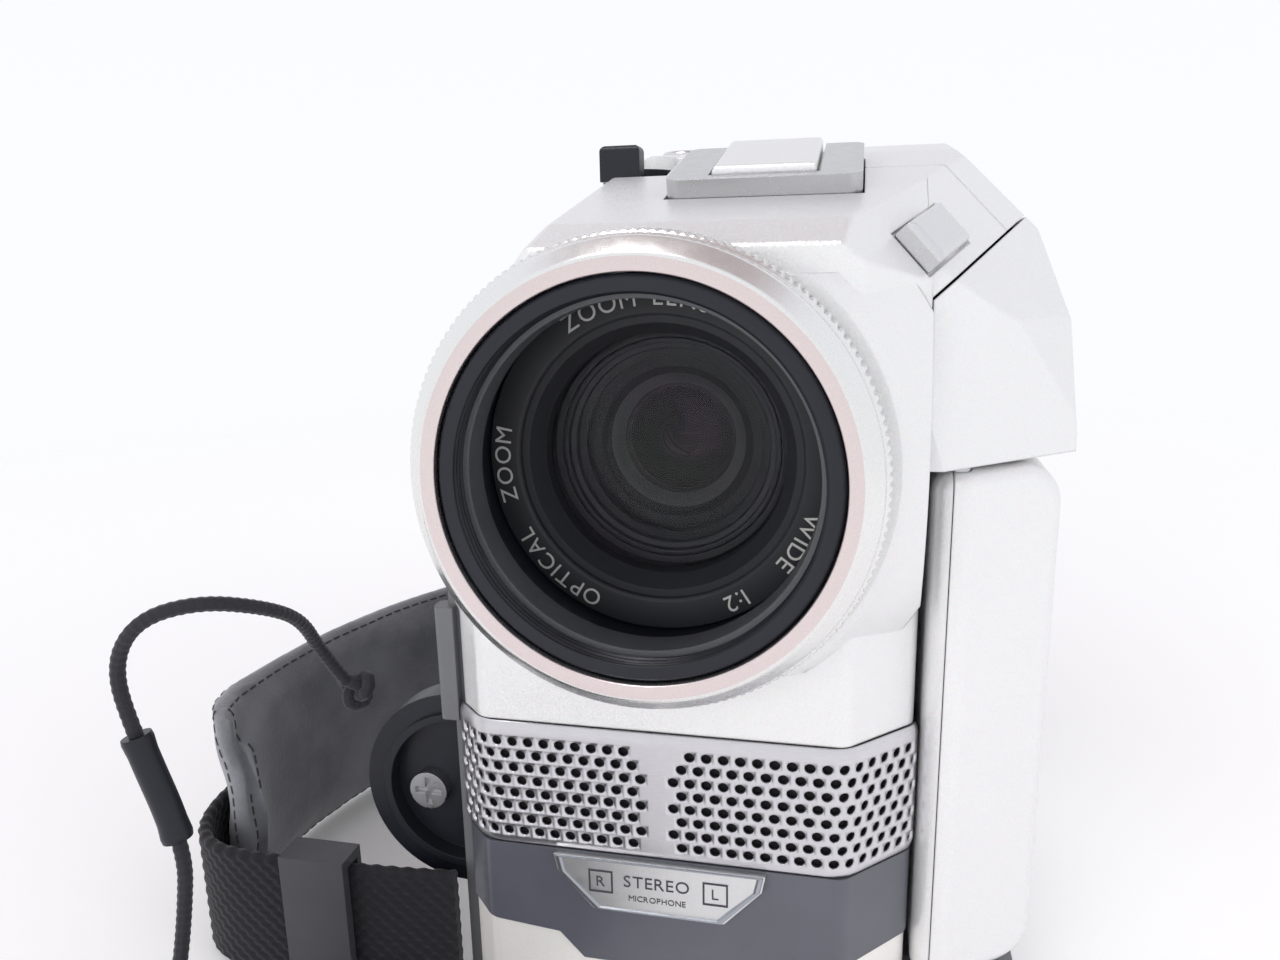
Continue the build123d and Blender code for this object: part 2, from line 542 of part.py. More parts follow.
# ---------------------------------------------------------------- tape drive
def build_tape_drive():
    reel_z, drum_at = 30.0, (18.0, 68.3)
    shell = block((-22.3, -10.3), (-16.5, 45.5), (9.0, 56.5))
    shell = shell - block((-21.3, -11.3), (-15.5, 44.5), (10.0, 55.5))
    shell = shell - block((-30, -21), (6, 23), (20, 40))
    hubs = [(-0.7, 14.0), (29.7, 11.0)]
    for y, _ in hubs:
        shell = shell - rod("X", 3.4, (-12, -9), (y, reel_z))
    save("cassette", shell)
    chassis = block((-9.8, -8.6), (-17, 46), (9, 54))
    for (y, pack), name in zip(hubs, ("supply_reel", "take_up_reel")):
        chassis = chassis + rod("X", 1.5, (-20.2, -8.6), (y, reel_z))
        reel = rod("X", pack, (-20.4, -12.2), (y, reel_z)) + rod("X", 2.9, (-12.3, -10.1), (y, reel_z))
        save(name, reel - rod("X", 1.56, (-30, 0), (y, reel_z)))
    chassis = chassis + rod("X", 10.85, (-9.8, -7.0), drum_at) + rod("X", 1.5, (-21.5, -9), drum_at)
    chassis = chassis + block((-9.8, -8.6), (12, 24), (53.9, 60))
    save("tape_chassis", chassis)
    save("head_drum", tube("X", 10.85, 1.56, (-20.8, -10.1), drum_at))
    board = block((22.0, 23.4), (-24, 44), (10, 66))
    for y, z, size in ((-10, 26, 9), (12, 46, 12), (30, 24, 10), (30, 52, 7)):
        board = board + block((20.8, 22.1), (y - size / 2, y + size / 2), (z - size / 2, z + size / 2))
    save("main_board", board)
    door = block((DOOR_HINGE[0], -8.0), (-20.0, 46.0), (FOOT + 0.1, 2.4))
    door = door + rod("Y", 2.0, (-20.0, 46.0), DOOR_HINGE)
    for y in ((-19.5, -18.3), (44.3, 45.5)):
        door = door + block((DOOR_HINGE[0], -8.5), y, (2.3, 5.0))
    save("cassette_door", door - rod("Y", 0.96, (-25, 50), DOOR_HINGE))
    door_pin = rod("Y", 0.9, (-22.4, 48.4), DOOR_HINGE)
    lever = block((-17.5, -13.5), (-30.4, -26.6), (0.2, 2.9))
    save("eject_lever", lever + block((-19.4, -11.6), (-31.8, -25.4), (2.8, 3.8)))
    capsules = [rod("Y", 4.8, (-38.35, -33.0), (x, 33.5)) for x in (-12.5, 12.5)]
    save("microphone_capsules", Compound(children=capsules))
    return door_pin


# ---------------------------------------------------------------- hand strap
def build_strap():
    side = LEFT - 1.6
    centre = (side, 28.3)
    beside = block((-60, side), (-60, 60), (0, 60))
    bracket = tube("Y", 13.0, 10.6, (-35.2, -31.2), centre) + tube("Y", 10.6, 9.6, (-35.8, -31.2), centre)
    bracket = (bracket + rod("Y", 9.7, (-33.4, -31.2), centre)) & beside
    eyelet_at = Vector(-37.0, -33.4, 39.0)
    eyelet = Pos(*eyelet_at) * Rot(Y=-45) * Box(6.0, 2.4, 3.0)
    bracket = bracket + eyelet
    bracket = bracket - rod("Y", 1.0, (-40, -30), (-31.4, 27.4))
    bracket = bracket - block((LEFT - 3.4, LEFT), (-38, -34.2), (38.6, 60))
    save("strap_bracket", main_piece(bracket))
    screw_at = (-31.4, 27.4)
    screw = rod("Y", 2.5, (-34.9, -33.4), screw_at) + rod("Y", 0.98, (-33.5, -31.2), screw_at)
    screw = screw - block((-33.2, -29.6), (-36, -34.4), (27.0, 27.8))
    save("bracket_screw", screw - block((-31.8, -31.0), (-36, -34.4), (25.6, 29.2)))
    path = [(-26.8, -38.4), (-36, -39.2), (-50, -39.6), (-60.6, -38.6), (-66.2, -33.6), (-68.2, -24),
            (-67.4, -6), (-61.8, 12), (-52.6, 27), (-41.0, 37.2), (-31.4, 41.3)]
    save("strap_webbing", ribbon(path, 1.5, (0.8, STRAP_TOP)))
    pad_path = [(-58.4, -35.0), (-62.6, -30.0), (-64.2, -20), (-62.6, -6), (-57.2, 9.4), (-49.2, 21.8),
                (-40.8, 30.4)]
    save("strap_pad", ribbon(pad_path, 6.0, (1.4, 38.6)))
    keeper_x, keeper_y = (-49.4, -40.4), (-42.0, -37.4)
    keeper = block(keeper_x, keeper_y, (0.3, STRAP_TOP + 1.0)) - block((-55, -38), (-40.7, -38.3), (-1, 99))
    save("strap_keeper", keeper + block(keeper_x, keeper_y, (STRAP_TOP + 0.3, STRAP_TOP + 1.6)))


# ---------------------------------------------------------------- lens cap and its cord
CORD_ROUTE = [
    (-40.9, -36.2, 42.6),
    (-42.6, -38.4, 47.4),
    (-41.4, -43.6, 53.6),
    (-41.6, -50.0, 57.4),
    (-45.0, -56.0, 60.0),
    (-50.6, -58.6, 58.6),
    (-54.4, -58.4, 53.2),
    (-53.6, -58.0, 46.0),
    (-49.0, -58.0, 32.2),
    (-50.0, -58.2, 24.4),
    (-51.0, -59.4, 16.6),
    (-51.9, -61.6, 9.6),
    (-52.1, -62.4, 4.4),
]


def cord_radii(points):
    radii = []
    for before, here, after in zip(points, points[1:], points[2:]):
        first = Vector(*here) - Vector(*before)
        second = Vector(*after) - Vector(*here)
        half_turn = radians(first.get_angle(second)) / 2
        radii.append(0.45 * min(first.length, second.length) / tan(half_turn))
    return radii


def build_cord():
    radii = cord_radii(CORD_ROUTE)
    print("cord radii:", [round(radius, 1) for radius in radii])
    path = FilletPolyline(*CORD_ROUTE, radius=radii)
    start = Vector(*CORD_ROUTE[1]) - Vector(*CORD_ROUTE[0])
    profile = Plane(origin=CORD_ROUTE[0], z_dir=start) * Circle(CORD_R)
    cord = sweep(profile, path=path)
    print("cord length:", round(path.length, 1))
    save("lens_cap_cord", cord)
    top, low = Vector(*CORD_ROUTE[7]), Vector(*CORD_ROUTE[8])
    along = (low - top).normalized()
    middle = (top + low) / 2
    sleeve_plane = Plane(origin=middle - along * 5.8, z_dir=along)
    sleeve = extrude(sleeve_plane * Circle(1.75), 11.6) - extrude(sleeve_plane * Circle(1.15), 11.6)
    save("cord_sleeve", sleeve)
    knot = Pos(-40.0, -35.2, 41.0) * Sphere(2.9)
    eyelet = Pos(-37.0, -33.4, 39.0) * Rot(Y=-45) * Box(6.3, 2.7, 3.3)
    reach = block((-60, 0), (-60, 60), (0, 60))
    knot = (knot & reach) - eyelet - cord
    save("cord_knot", main_piece(knot))


def build_cap():
    x, y = CAP_AT
    cap = rod("Z", CAP_R, (0, 6.6), (x, y)) - rod("Z", CAP_R - 1.4, (-1, 4.6), (x, y))
    edge = cap.edges().filter_by(GeomType.CIRCLE).group_by(Axis.Z)[-1]
    cap = soften(cap, edge, 1.2, 0.8)
    for side in (-1, 1):
        near, far = sorted((x + side * 9.0, x + side * 30))
        cap = cap - block((near, far), (y - 5.4, y + 5.4), (-1, 9))
    wall = tube("Z", CAP_R - 1.4, CAP_R - 2.8, (0, 4.6), (x, y)) & block((x - 8.6, x + 8.6), (-200, 60), (0, 10))
    bridge = block((x - 8.6, x + 8.6), (y - 7, y + 7), (3.0, 5.0))
    lug = block((-53.4, -50.8), (-64.0, -60.8), (1.2, 4.3))
    cap = cap + wall + bridge + (lug - rod("Z", CAP_R - 1.0, (0, 6), (x, y)))
    save("lens_cap", main_piece(cap))
    for side, name in ((-1, "cap_tab_left"), (1, "cap_tab_right")):
        near, far = sorted((x + side * 11.2, x + side * 40))
        tab = rod("Z", CAP_R - 0.2, (1.0, 6.2), (x, y)) & block((near, far), (y - 5.0, y + 5.0), (0, 10))
        save(name, tab - block((x - 15.2, x + 15.2), (y - 3.8, y + 3.8), (4.6, 7)))


# ---------------------------------------------------------------- build
front_casing, top_cover, right_casing, rear_cover = build_casing()
front_casing, top_cover, rear_cover, right_slot, connector_pin = build_controls(
    front_casing, top_cover, rear_cover)
right_casing = right_casing - right_slot - rod("Z", 1.2, (PANEL_Z[1] - 1, PANEL_Z[1] + 2.2), PIVOT)
for name, piece in zip(("front_casing", "top_cover", "right_casing", "rear_cover"),
                       (front_casing, top_cover, right_casing, rear_cover)):
    save(name, main_piece(piece))
save("hand_side_cover", build_left_cover())
trim_names = ("microphone_grille", "front_band", "lower_front_panel", "stereo_plaque")
for name, piece in zip(trim_names, build_trims()):
    save(name, piece)
save("base_tray", build_base())
save("tripod_socket", build_tripod_socket())
save("rubber_feet", build_feet())
save("manual_ring", build_manual_ring())
save("filter_ring", build_filter_ring())
save("name_ring", build_name_ring())
build_lens()
display_pins = build_panel()
build_finder()
build_battery()
door_pin = build_tape_drive()
save("hinge_pins", Compound(children=display_pins + [connector_pin, door_pin]))
build_strap()
build_cord()
build_cap()
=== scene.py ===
"""Camcorder: materials, lens, grille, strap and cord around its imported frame. Lengths are in metres."""
from math import atan2, cos, hypot, pi, radians, sin

import bmesh
import bpy
from mathutils import Matrix, Vector
from mathutils.bvhtree import BVHTree


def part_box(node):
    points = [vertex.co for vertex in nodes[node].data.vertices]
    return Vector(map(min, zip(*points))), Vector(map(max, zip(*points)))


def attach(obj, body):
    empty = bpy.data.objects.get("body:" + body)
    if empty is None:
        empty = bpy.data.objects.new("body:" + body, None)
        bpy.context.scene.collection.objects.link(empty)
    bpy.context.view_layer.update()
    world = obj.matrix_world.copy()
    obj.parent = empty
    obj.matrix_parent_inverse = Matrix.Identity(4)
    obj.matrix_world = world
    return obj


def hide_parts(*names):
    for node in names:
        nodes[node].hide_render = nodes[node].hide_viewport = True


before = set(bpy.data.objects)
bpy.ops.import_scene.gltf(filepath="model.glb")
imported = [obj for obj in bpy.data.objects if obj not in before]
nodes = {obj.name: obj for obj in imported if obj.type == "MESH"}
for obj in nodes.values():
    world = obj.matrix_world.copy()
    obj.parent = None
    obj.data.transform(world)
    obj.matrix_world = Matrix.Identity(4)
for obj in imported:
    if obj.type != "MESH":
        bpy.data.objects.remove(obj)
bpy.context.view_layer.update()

MM = 0.001
ring_low, ring_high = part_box("manual_ring")
LENS_AXIS = (ring_low + ring_high) / 2
LENS_X, LENS_Z = LENS_AXIS.x, LENS_AXIS.z
RING_FRONT = ring_low.y


# ---------------------------------------------------------------- camera and light
def make_camera():
    """Close, wide view of the lens from a little above and to the display side."""
    data = bpy.data.cameras.new("camera")
    data.lens, data.sensor_width = 27.3, 36.0
    data.clip_start, data.clip_end = 0.005, 20.0
    forward = Vector((-0.215, 0.948, -0.225)).normalized()
    right = Vector((0.976, 0.2243, -0.0226))
    right = (right - forward * right.dot(forward)).normalized()
    up = right.cross(forward)
    camera = bpy.data.objects.new("camera", data)
    bpy.context.scene.collection.objects.link(camera)
    turn = Matrix((right, up, -forward)).transposed().to_4x4()
    place = Vector((LENS_X, RING_FRONT, LENS_Z)) + Vector((21.0, -88.8, 22.0)) * MM
    camera.matrix_world = Matrix.Translation(place) @ turn
    bpy.context.scene.camera = camera


def area_light(name, place, target, size, power, colour, mirrored=False):
    data = bpy.data.lights.new(name, "AREA")
    data.shape, data.size, data.energy, data.color = "DISK", size, power, colour
    light = bpy.data.objects.new(name, data)
    bpy.context.scene.collection.objects.link(light)
    light.location = place
    light.visible_glossy = mirrored
    light.visible_diffuse = not mirrored
    light.rotation_mode = "QUATERNION"
    light.rotation_quaternion = (Vector(target) - Vector(place)).to_track_quat("-Z", "Y")


def make_light():
    """Bright all-round light, a little dimmer and warmer straight overhead."""
    world = bpy.data.worlds.new("studio")
    bpy.context.scene.world = world
    world.use_nodes = True
    tree = world.node_tree
    background = tree.nodes["Background"]
    direction = tree.nodes.new("ShaderNodeTexCoord").outputs["Generated"]
    split = tree.nodes.new("ShaderNodeSeparateXYZ")
    tree.links.new(direction, split.inputs[0])
    ramp = tree.nodes.new("ShaderNodeValToRGB")
    tree.links.new(split.outputs["Z"], ramp.inputs["Fac"])
    stops = ramp.color_ramp.elements
    stops[0].position, stops[0].color = 0.0, (0.97, 0.98, 1.0, 1)
    stops[1].position, stops[1].color = 0.74, (0.94, 0.95, 1.0, 1)
    overhead = stops.new(0.9)
    overhead.color = (0.50, 0.43, 0.44, 1)
    tree.links.new(ramp.outputs["Color"], background.inputs["Color"])
    background.inputs["Strength"].default_value = 1.0
    centre = (0.0, 0.0, 0.06)
    area_light("side_light", (0.9, -0.25, 0.35), centre, 0.7, 2.0, (1.0, 1.0, 1.0))
    area_light("front_light", (-0.45, -0.9, 0.15), centre, 0.8, 5.0, (1.0, 0.98, 0.97))
    area_light("top_light", (-0.2, -0.30, 0.95), centre, 0.35, 2.5, (1.0, 1.0, 1.0), True)
    bpy.context.scene.view_settings.view_transform = "Standard"


# ---------------------------------------------------------------- materials
class Shader:
    """A Principled material with short calls for its procedural nodes."""

    def __init__(self, name, **constants):
        self.material = bpy.data.materials.new(name)
        self.material.use_nodes = True
        self.tree = self.material.node_tree
        self.surface = self.tree.nodes["Principled BSDF"]
        self.place = self.add("ShaderNodeTexCoord").outputs["Object"]
        self.set(**constants)

    def add(self, kind, **values):
        node = self.tree.nodes.new(kind)
        for key, value in values.items():
            setattr(node, key, value)
        return node

    def set(self, **constants):
        """Constants on the surface, with _ for a space in the socket's name."""
        for key, value in constants.items():
            if isinstance(value, tuple):
                value = (*value, 1.0)
            self.surface.inputs[key.replace("_", " ")].default_value = value
        return self

    def feed(self, socket, value):
        if hasattr(value, "is_linked"):
            self.tree.links.new(value, socket)
        else:
            socket.default_value = value

    def to(self, name, output):
        self.tree.links.new(output, self.surface.inputs[name])
        return self

    def sum(self, operation, first, second=0.0):
        node = self.add("ShaderNodeMath", operation=operation)
        self.feed(node.inputs[0], first)
        self.feed(node.inputs[1], second)
        return node.outputs[0]

    def noise(self, size, detail=2.0, stretch=(1, 1, 1)):
        """Cloudy pattern with features of about this size."""
        scaled = self.add("ShaderNodeVectorMath", operation="MULTIPLY")
        self.tree.links.new(self.place, scaled.inputs[0])
        scaled.inputs[1].default_value = stretch
        node = self.add("ShaderNodeTexNoise")
        self.tree.links.new(scaled.outputs[0], node.inputs["Vector"])
        node.inputs["Scale"].default_value = 1 / size
        node.inputs["Detail"].default_value = detail
        return node.outputs["Fac"]

    def cells(self, size, output="Color"):
        node = self.add("ShaderNodeTexVoronoi")
        self.tree.links.new(self.place, node.inputs["Vector"])
        node.inputs["Scale"].default_value = 1 / size
        return node.outputs[output]

    def range(self, value, low, high, start=0.0, end=1.0):
        node = self.add("ShaderNodeMapRange")
        for socket, number in zip(node.inputs[:5], (value, start, end, low, high)):
            self.feed(socket, number)
        return node.outputs[0]

    def blend(self, factor, first, second):
        node = self.add("ShaderNodeMix", data_type="RGBA")
        self.feed(node.inputs[0], factor)
        for socket, value in zip(node.inputs[6:8], (first, second)):
            self.feed(socket, (*value, 1.0) if isinstance(value, tuple) else value)
        return node.outputs[2]

    def bump(self, height, depth, base=None):
        node = self.add("ShaderNodeBump")
        node.inputs["Distance"].default_value = depth
        self.tree.links.new(height, node.inputs["Height"])
        if base is not None:
            self.tree.links.new(base, node.inputs["Normal"])
        return node.outputs["Normal"]

    def soft_edges(self, radius):
        node = self.add("ShaderNodeBevel", samples=3)
        node.inputs["Radius"].default_value = radius
        return node.outputs["Normal"]

    def axis(self, name):
        node = self.add("ShaderNodeSeparateXYZ")
        self.tree.links.new(self.place, node.inputs[0])
        return node.outputs[name]


def flake_paint(name, colour, strength=0.16, metallic=0.62, roughness=0.33):
    """Silver paint: tiny flakes, each tilted its own way, with a faint tint."""
    paint = Shader(name, Metallic=metallic, Coat_Weight=0.2, Coat_Roughness=0.25)
    flake = paint.cells(0.13 * MM)
    tilt = paint.add("ShaderNodeVectorMath", operation="SUBTRACT")
    paint.feed(tilt.inputs[0], flake)
    tilt.inputs[1].default_value = (0.5, 0.5, 0.5)
    small = paint.add("ShaderNodeVectorMath", operation="SCALE")
    paint.feed(small.inputs[0], tilt.outputs[0])
    small.inputs["Scale"].default_value = strength
    joined = paint.add("ShaderNodeVectorMath", operation="ADD")
    paint.feed(joined.inputs[0], paint.soft_edges(0.3 * MM))
    paint.feed(joined.inputs[1], small.outputs[0])
    normal = paint.add("ShaderNodeVectorMath", operation="NORMALIZE")
    paint.feed(normal.inputs[0], joined.outputs[0])
    paint.to("Normal", normal.outputs[0])
    cloud = paint.range(paint.noise(6 * MM, 3), 0.0, 0.10)
    toned = paint.blend(cloud, colour, tuple(0.82 * part for part in colour))
    paint.to("Base Color", paint.blend(0.06, toned, flake))
    worn = paint.range(paint.noise(0.8 * MM, 4), roughness - 0.05, roughness + 0.07)
    paint.to("Roughness", worn)
    return paint.material


def moulded(name, colour, roughness=0.45, grain=0.25, depth=0.012, edge=0.2, **constants):
    """Moulded plastic: fine spark-eroded grain, faint clouding and softened edges."""
    plastic = Shader(name, **constants)
    speck = plastic.noise(grain * MM, 3)
    cloud = plastic.noise(9 * MM, 4)
    darker = tuple(0.78 * part for part in colour)
    plastic.to("Base Color", plastic.blend(plastic.range(cloud, 0.0, 0.7, 0.3, 0.75), colour, darker))
    plastic.to("Roughness", plastic.range(plastic.noise(2.2 * MM, 4), roughness - 0.07, roughness + 0.09))
    plastic.to("Normal", plastic.bump(speck, depth * MM, plastic.soft_edges(edge * MM)))
    return plastic.material


def metal(name, colour, roughness=0.3, brush=(1, 1, 1), grain=0.12, depth=0.004, edge=0.12):
    """Metal with a fine brushed or blasted finish."""
    shiny = Shader(name, Metallic=1.0)
    lines = shiny.noise(grain * MM, 3, brush)
    dull = tuple(0.86 * part for part in colour)
    shiny.to("Base Color", shiny.blend(shiny.range(lines, 0.0, 0.6, 0.3, 0.7), colour, dull))
    shiny.to("Roughness", shiny.range(shiny.noise(1.5 * MM, 3), roughness - 0.06, roughness + 0.08))
    shiny.to("Normal", shiny.bump(lines, depth * MM, shiny.soft_edges(edge * MM)))
    return shiny.material


def coated_glass(name, film, reflect, see_through=0.97):
    """Coated lens glass: clear, with a faint coloured reflection."""
    glass = Shader(name)
    tree = glass.tree
    clear = glass.add("ShaderNodeBsdfTransparent")
    clear.inputs["Color"].default_value = (see_through, see_through, see_through, 1)
    gloss = glass.add("ShaderNodeBsdfGlossy")
    gloss.inputs["Roughness"].default_value = 0.03
    tint = glass.blend(glass.range(glass.noise(7 * MM, 1), 0.0, 1.0, 0.35, 0.65), film[0], film[1])
    tree.links.new(tint, gloss.inputs["Color"])
    facing = glass.add("ShaderNodeLayerWeight")
    facing.inputs["Blend"].default_value = 0.12
    share = glass.range(facing.outputs["Fresnel"], reflect, 0.9)
    mixed = glass.add("ShaderNodeMixShader")
    tree.links.new(share, mixed.inputs[0])
    tree.links.new(clear.outputs[0], mixed.inputs[1])
    tree.links.new(gloss.outputs[0], mixed.inputs[2])
    output = tree.nodes["Material Output"]
    tree.links.new(mixed.outputs[0], output.inputs["Surface"])
    tree.nodes.remove(glass.surface)
    return glass.material


def leather(name):
    """Black synthetic leather: pebbled cells, fine creases and rubbed high spots."""
    hide = Shader(name, Specular_IOR_Level=0.42, Sheen_Weight=0.25, Sheen_Roughness=0.5)
    pebble = hide.cells(0.55 * MM, "Distance")
    crease = hide.noise(3.5 * MM, 6)
    height = hide.sum("ADD", pebble, hide.sum("MULTIPLY", crease, 1.4))
    hide.to("Normal", hide.bump(height, 0.06 * MM))
    worn = hide.range(hide.noise(11 * MM, 4), 0.0, 1.0, 0.35, 0.7)
    hide.to("Base Color", hide.blend(worn, (0.150, 0.154, 0.172), (0.255, 0.262, 0.285)))
    hide.to("Roughness", hide.range(crease, 0.42, 0.62))
    return hide.material


def woven(name, colour, fuzz=0.18):
    """Nylon yarn: fine fibres across the real weave of the mesh."""
    cloth = Shader(name, Sheen_Weight=0.2, Sheen_Roughness=0.4, Specular_IOR_Level=0.3, Roughness=0.78)
    fibre = cloth.noise(fuzz * MM, 5, (1, 1, 3))
    light = tuple(2.6 * part for part in colour)
    cloth.to("Base Color", cloth.blend(cloth.range(fibre, 0.0, 1.0, 0.35, 0.75), colour, light))
    cloth.to("Normal", cloth.bump(fibre, 0.05 * MM))
    return cloth.material


def make_materials():
    black = (0.018, 0.019, 0.023)
    return {
        "silver_paint": flake_paint("silver_paint", (0.80, 0.80, 0.80), 0.2, 0.5),
        "warm_silver": flake_paint("warm_silver", (0.84, 0.82, 0.79), 0.10, 0.35, 0.42),
        "ring_metal": metal("ring_metal", (0.86, 0.86, 0.85), 0.26),
        "ring_lip": metal("ring_lip", (0.80, 0.70, 0.69), 0.34, grain=0.2),
        "grille_metal": metal("grille_metal", (0.70, 0.69, 0.72), 0.34, (0.08, 0.08, 1), 0.1),
        "plaque_metal": metal("plaque_metal", (0.78, 0.78, 0.78), 0.36),
        "plaque_rim": metal("plaque_rim", (0.42, 0.44, 0.48), 0.3),
        "steel": metal("steel", (0.55, 0.55, 0.56), 0.28, (1, 0.1, 1)),
        "button_silver": metal("button_silver", (0.74, 0.74, 0.75), 0.25),
        "band_plastic": moulded("band_plastic", (0.085, 0.088, 0.108), 0.34, Coat_Weight=0.3,
                                Coat_Roughness=0.12),
        "side_grey": moulded("side_grey", (0.14, 0.143, 0.15), 0.46),
        "base_plastic": moulded("base_plastic", (0.20, 0.205, 0.215), 0.5, 0.35, 0.02),
        "black_satin": moulded("black_satin", (0.012, 0.013, 0.019), 0.36, Specular_IOR_Level=0.35),
        "keeper_plastic": moulded("keeper_plastic", (0.048, 0.049, 0.056), 0.40),
        "black_matte": moulded("black_matte", black, 0.55, 0.15, 0.006),
        "black_rim": moulded("black_rim", (0.075, 0.078, 0.085), 0.42, 0.22, 0.05),
        "battery_plastic": moulded("battery_plastic", (0.035, 0.036, 0.040), 0.5, 0.3, 0.02),
        "rubber_black": moulded("rubber_black", (0.022, 0.022, 0.024), 0.72, 0.4, 0.03),
        "button_red": moulded("button_red", (0.52, 0.022, 0.022), 0.28, Coat_Weight=0.5),
        "board_green": moulded("board_green", (0.03, 0.15, 0.07), 0.4),
        "tape_shell": moulded("tape_shell", (0.10, 0.10, 0.11), 0.45),
        "tape_brown": moulded("tape_brown", (0.05, 0.032, 0.026), 0.22, 0.6),
        "print_grey": moulded("print_grey", (0.52, 0.52, 0.50), 0.55, 0.1),
        "print_dark": moulded("print_dark", (0.045, 0.048, 0.058), 0.5, 0.1),
        "screen_glass": moulded("screen_glass", (0.012, 0.013, 0.016), 0.08, 3.0, 0.0, Coat_Weight=0.6),
        "leather": leather("strap_leather"),
        "webbing": woven("strap_fabric", (0.007, 0.007, 0.009)),
        "felt": woven("grille_felt", (0.010, 0.010, 0.012), 0.3),
        "braid": woven("cord_fabric", (0.016, 0.016, 0.019), 0.12),
        "thread": woven("stitch_thread", (0.030, 0.031, 0.035), 0.1),
        "front_coating": coated_glass("front_coating", ((0.55, 0.60, 0.58), (0.60, 0.50, 0.62)), 0.012),
        "violet_coating": coated_glass("violet_coating", ((0.50, 0.34, 0.58), (0.62, 0.40, 0.44)), 0.022,
                                       0.9),
        "amber_coating": coated_glass("amber_coating", ((0.62, 0.30, 0.26), (0.45, 0.26, 0.36)), 0.035, 0.8),
        "green_coating": coated_glass("green_coating", ((0.46, 0.52, 0.44), (0.50, 0.48, 0.52)), 0.01, 0.92),
    }


materials = make_materials()

NODE_MATERIALS = {
    "silver_paint": "front_casing top_cover right_casing display_back_shell display_bezel finder_housing"
                    " shoe_cover",
    "side_grey": "rear_cover hand_side_cover connector_cover",
    "band_plastic": "front_band",
    "warm_silver": "lower_front_panel",
    "plaque_metal": "stereo_plaque",
    "base_plastic": "base_tray cassette_door",
    "steel": "tripod_socket bracket_screw accessory_shoe head_drum tape_chassis hinge_pins"
             " microphone_capsules",
    "rubber_black": "rubber_feet finder_eyecup",
    "black_matte": "lens_barrel",
    "black_satin": "finder_carriage diopter_lever zoom_lever eject_lever battery_catch strap_bracket"
                   " lens_cap cap_tab_left cap_tab_right",
    "keeper_plastic": "strap_keeper",
    "button_silver": "photo_button mode_dial menu_button shoulder_slider",
    "button_red": "record_button",
    "board_green": "main_board image_sensor",
    "tape_shell": "cassette",
    "tape_brown": "supply_reel take_up_reel",
    "battery_plastic": "battery_pack",
    "screen_glass": "display_screen",
    "green_coating": "finder_glass",
}


def dress_nodes():
    for key, names in NODE_MATERIALS.items():
        for name in names.split():
            for slot in nodes[name].material_slots:
                slot.material = materials[key]


# ---------------------------------------------------------------- mesh helpers
def mesh_piece(name, points, faces, used, indices=None, sharp=38):
    """New object from points in metres, shaded smooth but for its sharp edges."""
    mesh = bpy.data.meshes.new(name)
    mesh.from_pydata(points, [], faces)
    for material in used:
        mesh.materials.append(material)
    if indices:
        mesh.polygons.foreach_set("material_index", indices)
    edit = bmesh.new()
    edit.from_mesh(mesh)
    bmesh.ops.recalc_face_normals(edit, faces=edit.faces)
    edit.to_mesh(mesh)
    edit.free()
    mesh.shade_smooth()
    mesh.set_sharp_from_angle(angle=radians(sharp))
    piece = bpy.data.objects.new(name, mesh)
    bpy.context.scene.collection.objects.link(piece)
    return piece


def settle(piece, body, slot, *replaced):
    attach(piece, body)
    if replaced:
        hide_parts(*replaced)
    return piece


def rounded(outline, radius, steps=4):
    """Closed (radius, y, finish) outline in mm with rounded corners."""
    soft = []
    for before, here, after in zip(outline[-1:] + outline[:-1], outline, outline[1:] + outline[:1]):
        reach = [hypot(other[0] - here[0], other[1] - here[1]) for other in (before, after)]
        ends = []
        for other, length in zip((before, after), reach):
            cut = min(radius, 0.42 * min(reach)) / length
            ends.append([here[axis] + (other[axis] - here[axis]) * cut for axis in (0, 1)])
        for step in range(steps + 1):
            t = step / steps
            spot = [ends[0][axis] * (1 - t) ** 2 + here[axis] * 2 * t * (1 - t) + ends[1][axis] * t * t
                    for axis in (0, 1)]
            soft.append((*spot, here[2]))
    return soft


def turned(name, outline, used, around=192, closed=True, shape=None, centre=(LENS_X, LENS_Z), sharp=38):
    """Body turned about a line along Y. The outline holds (radius, y, finish) in mm."""
    points, rings, faces, indices = [], [], [], []
    for radius, y, _ in outline:
        if radius == 0:
            rings.append([len(points)] * around)
            points.append((centre[0], y * MM, centre[1]))
            continue
        rings.append(list(range(len(points), len(points) + around)))
        for step in range(around):
            angle = 2 * pi * step / around
            r = (shape(radius, y, angle, step) if shape else radius) * MM
            points.append((centre[0] + r * cos(angle), y * MM, centre[1] + r * sin(angle)))
    pairs = list(zip(rings, rings[1:] + rings[:1], outline))
    for low, high, (_, _, finish) in pairs if closed else pairs[:-1]:
        for step in range(around):
            other = (step + 1) % around
            corners = [low[step], low[other], high[other], high[step]]
            faces.append(list(dict.fromkeys(corners)))
            indices.append(finish)
    return mesh_piece(name, points, faces, used, indices, sharp)


def box_faces(corners):
    """Six faces of a box from its lower four and upper four corners."""
    a, b, c, d, e, f, g, h = corners
    return [(a, b, c, d), (e, f, g, h), (a, b, f, e), (b, c, g, f), (c, d, h, g), (d, a, e, h)]


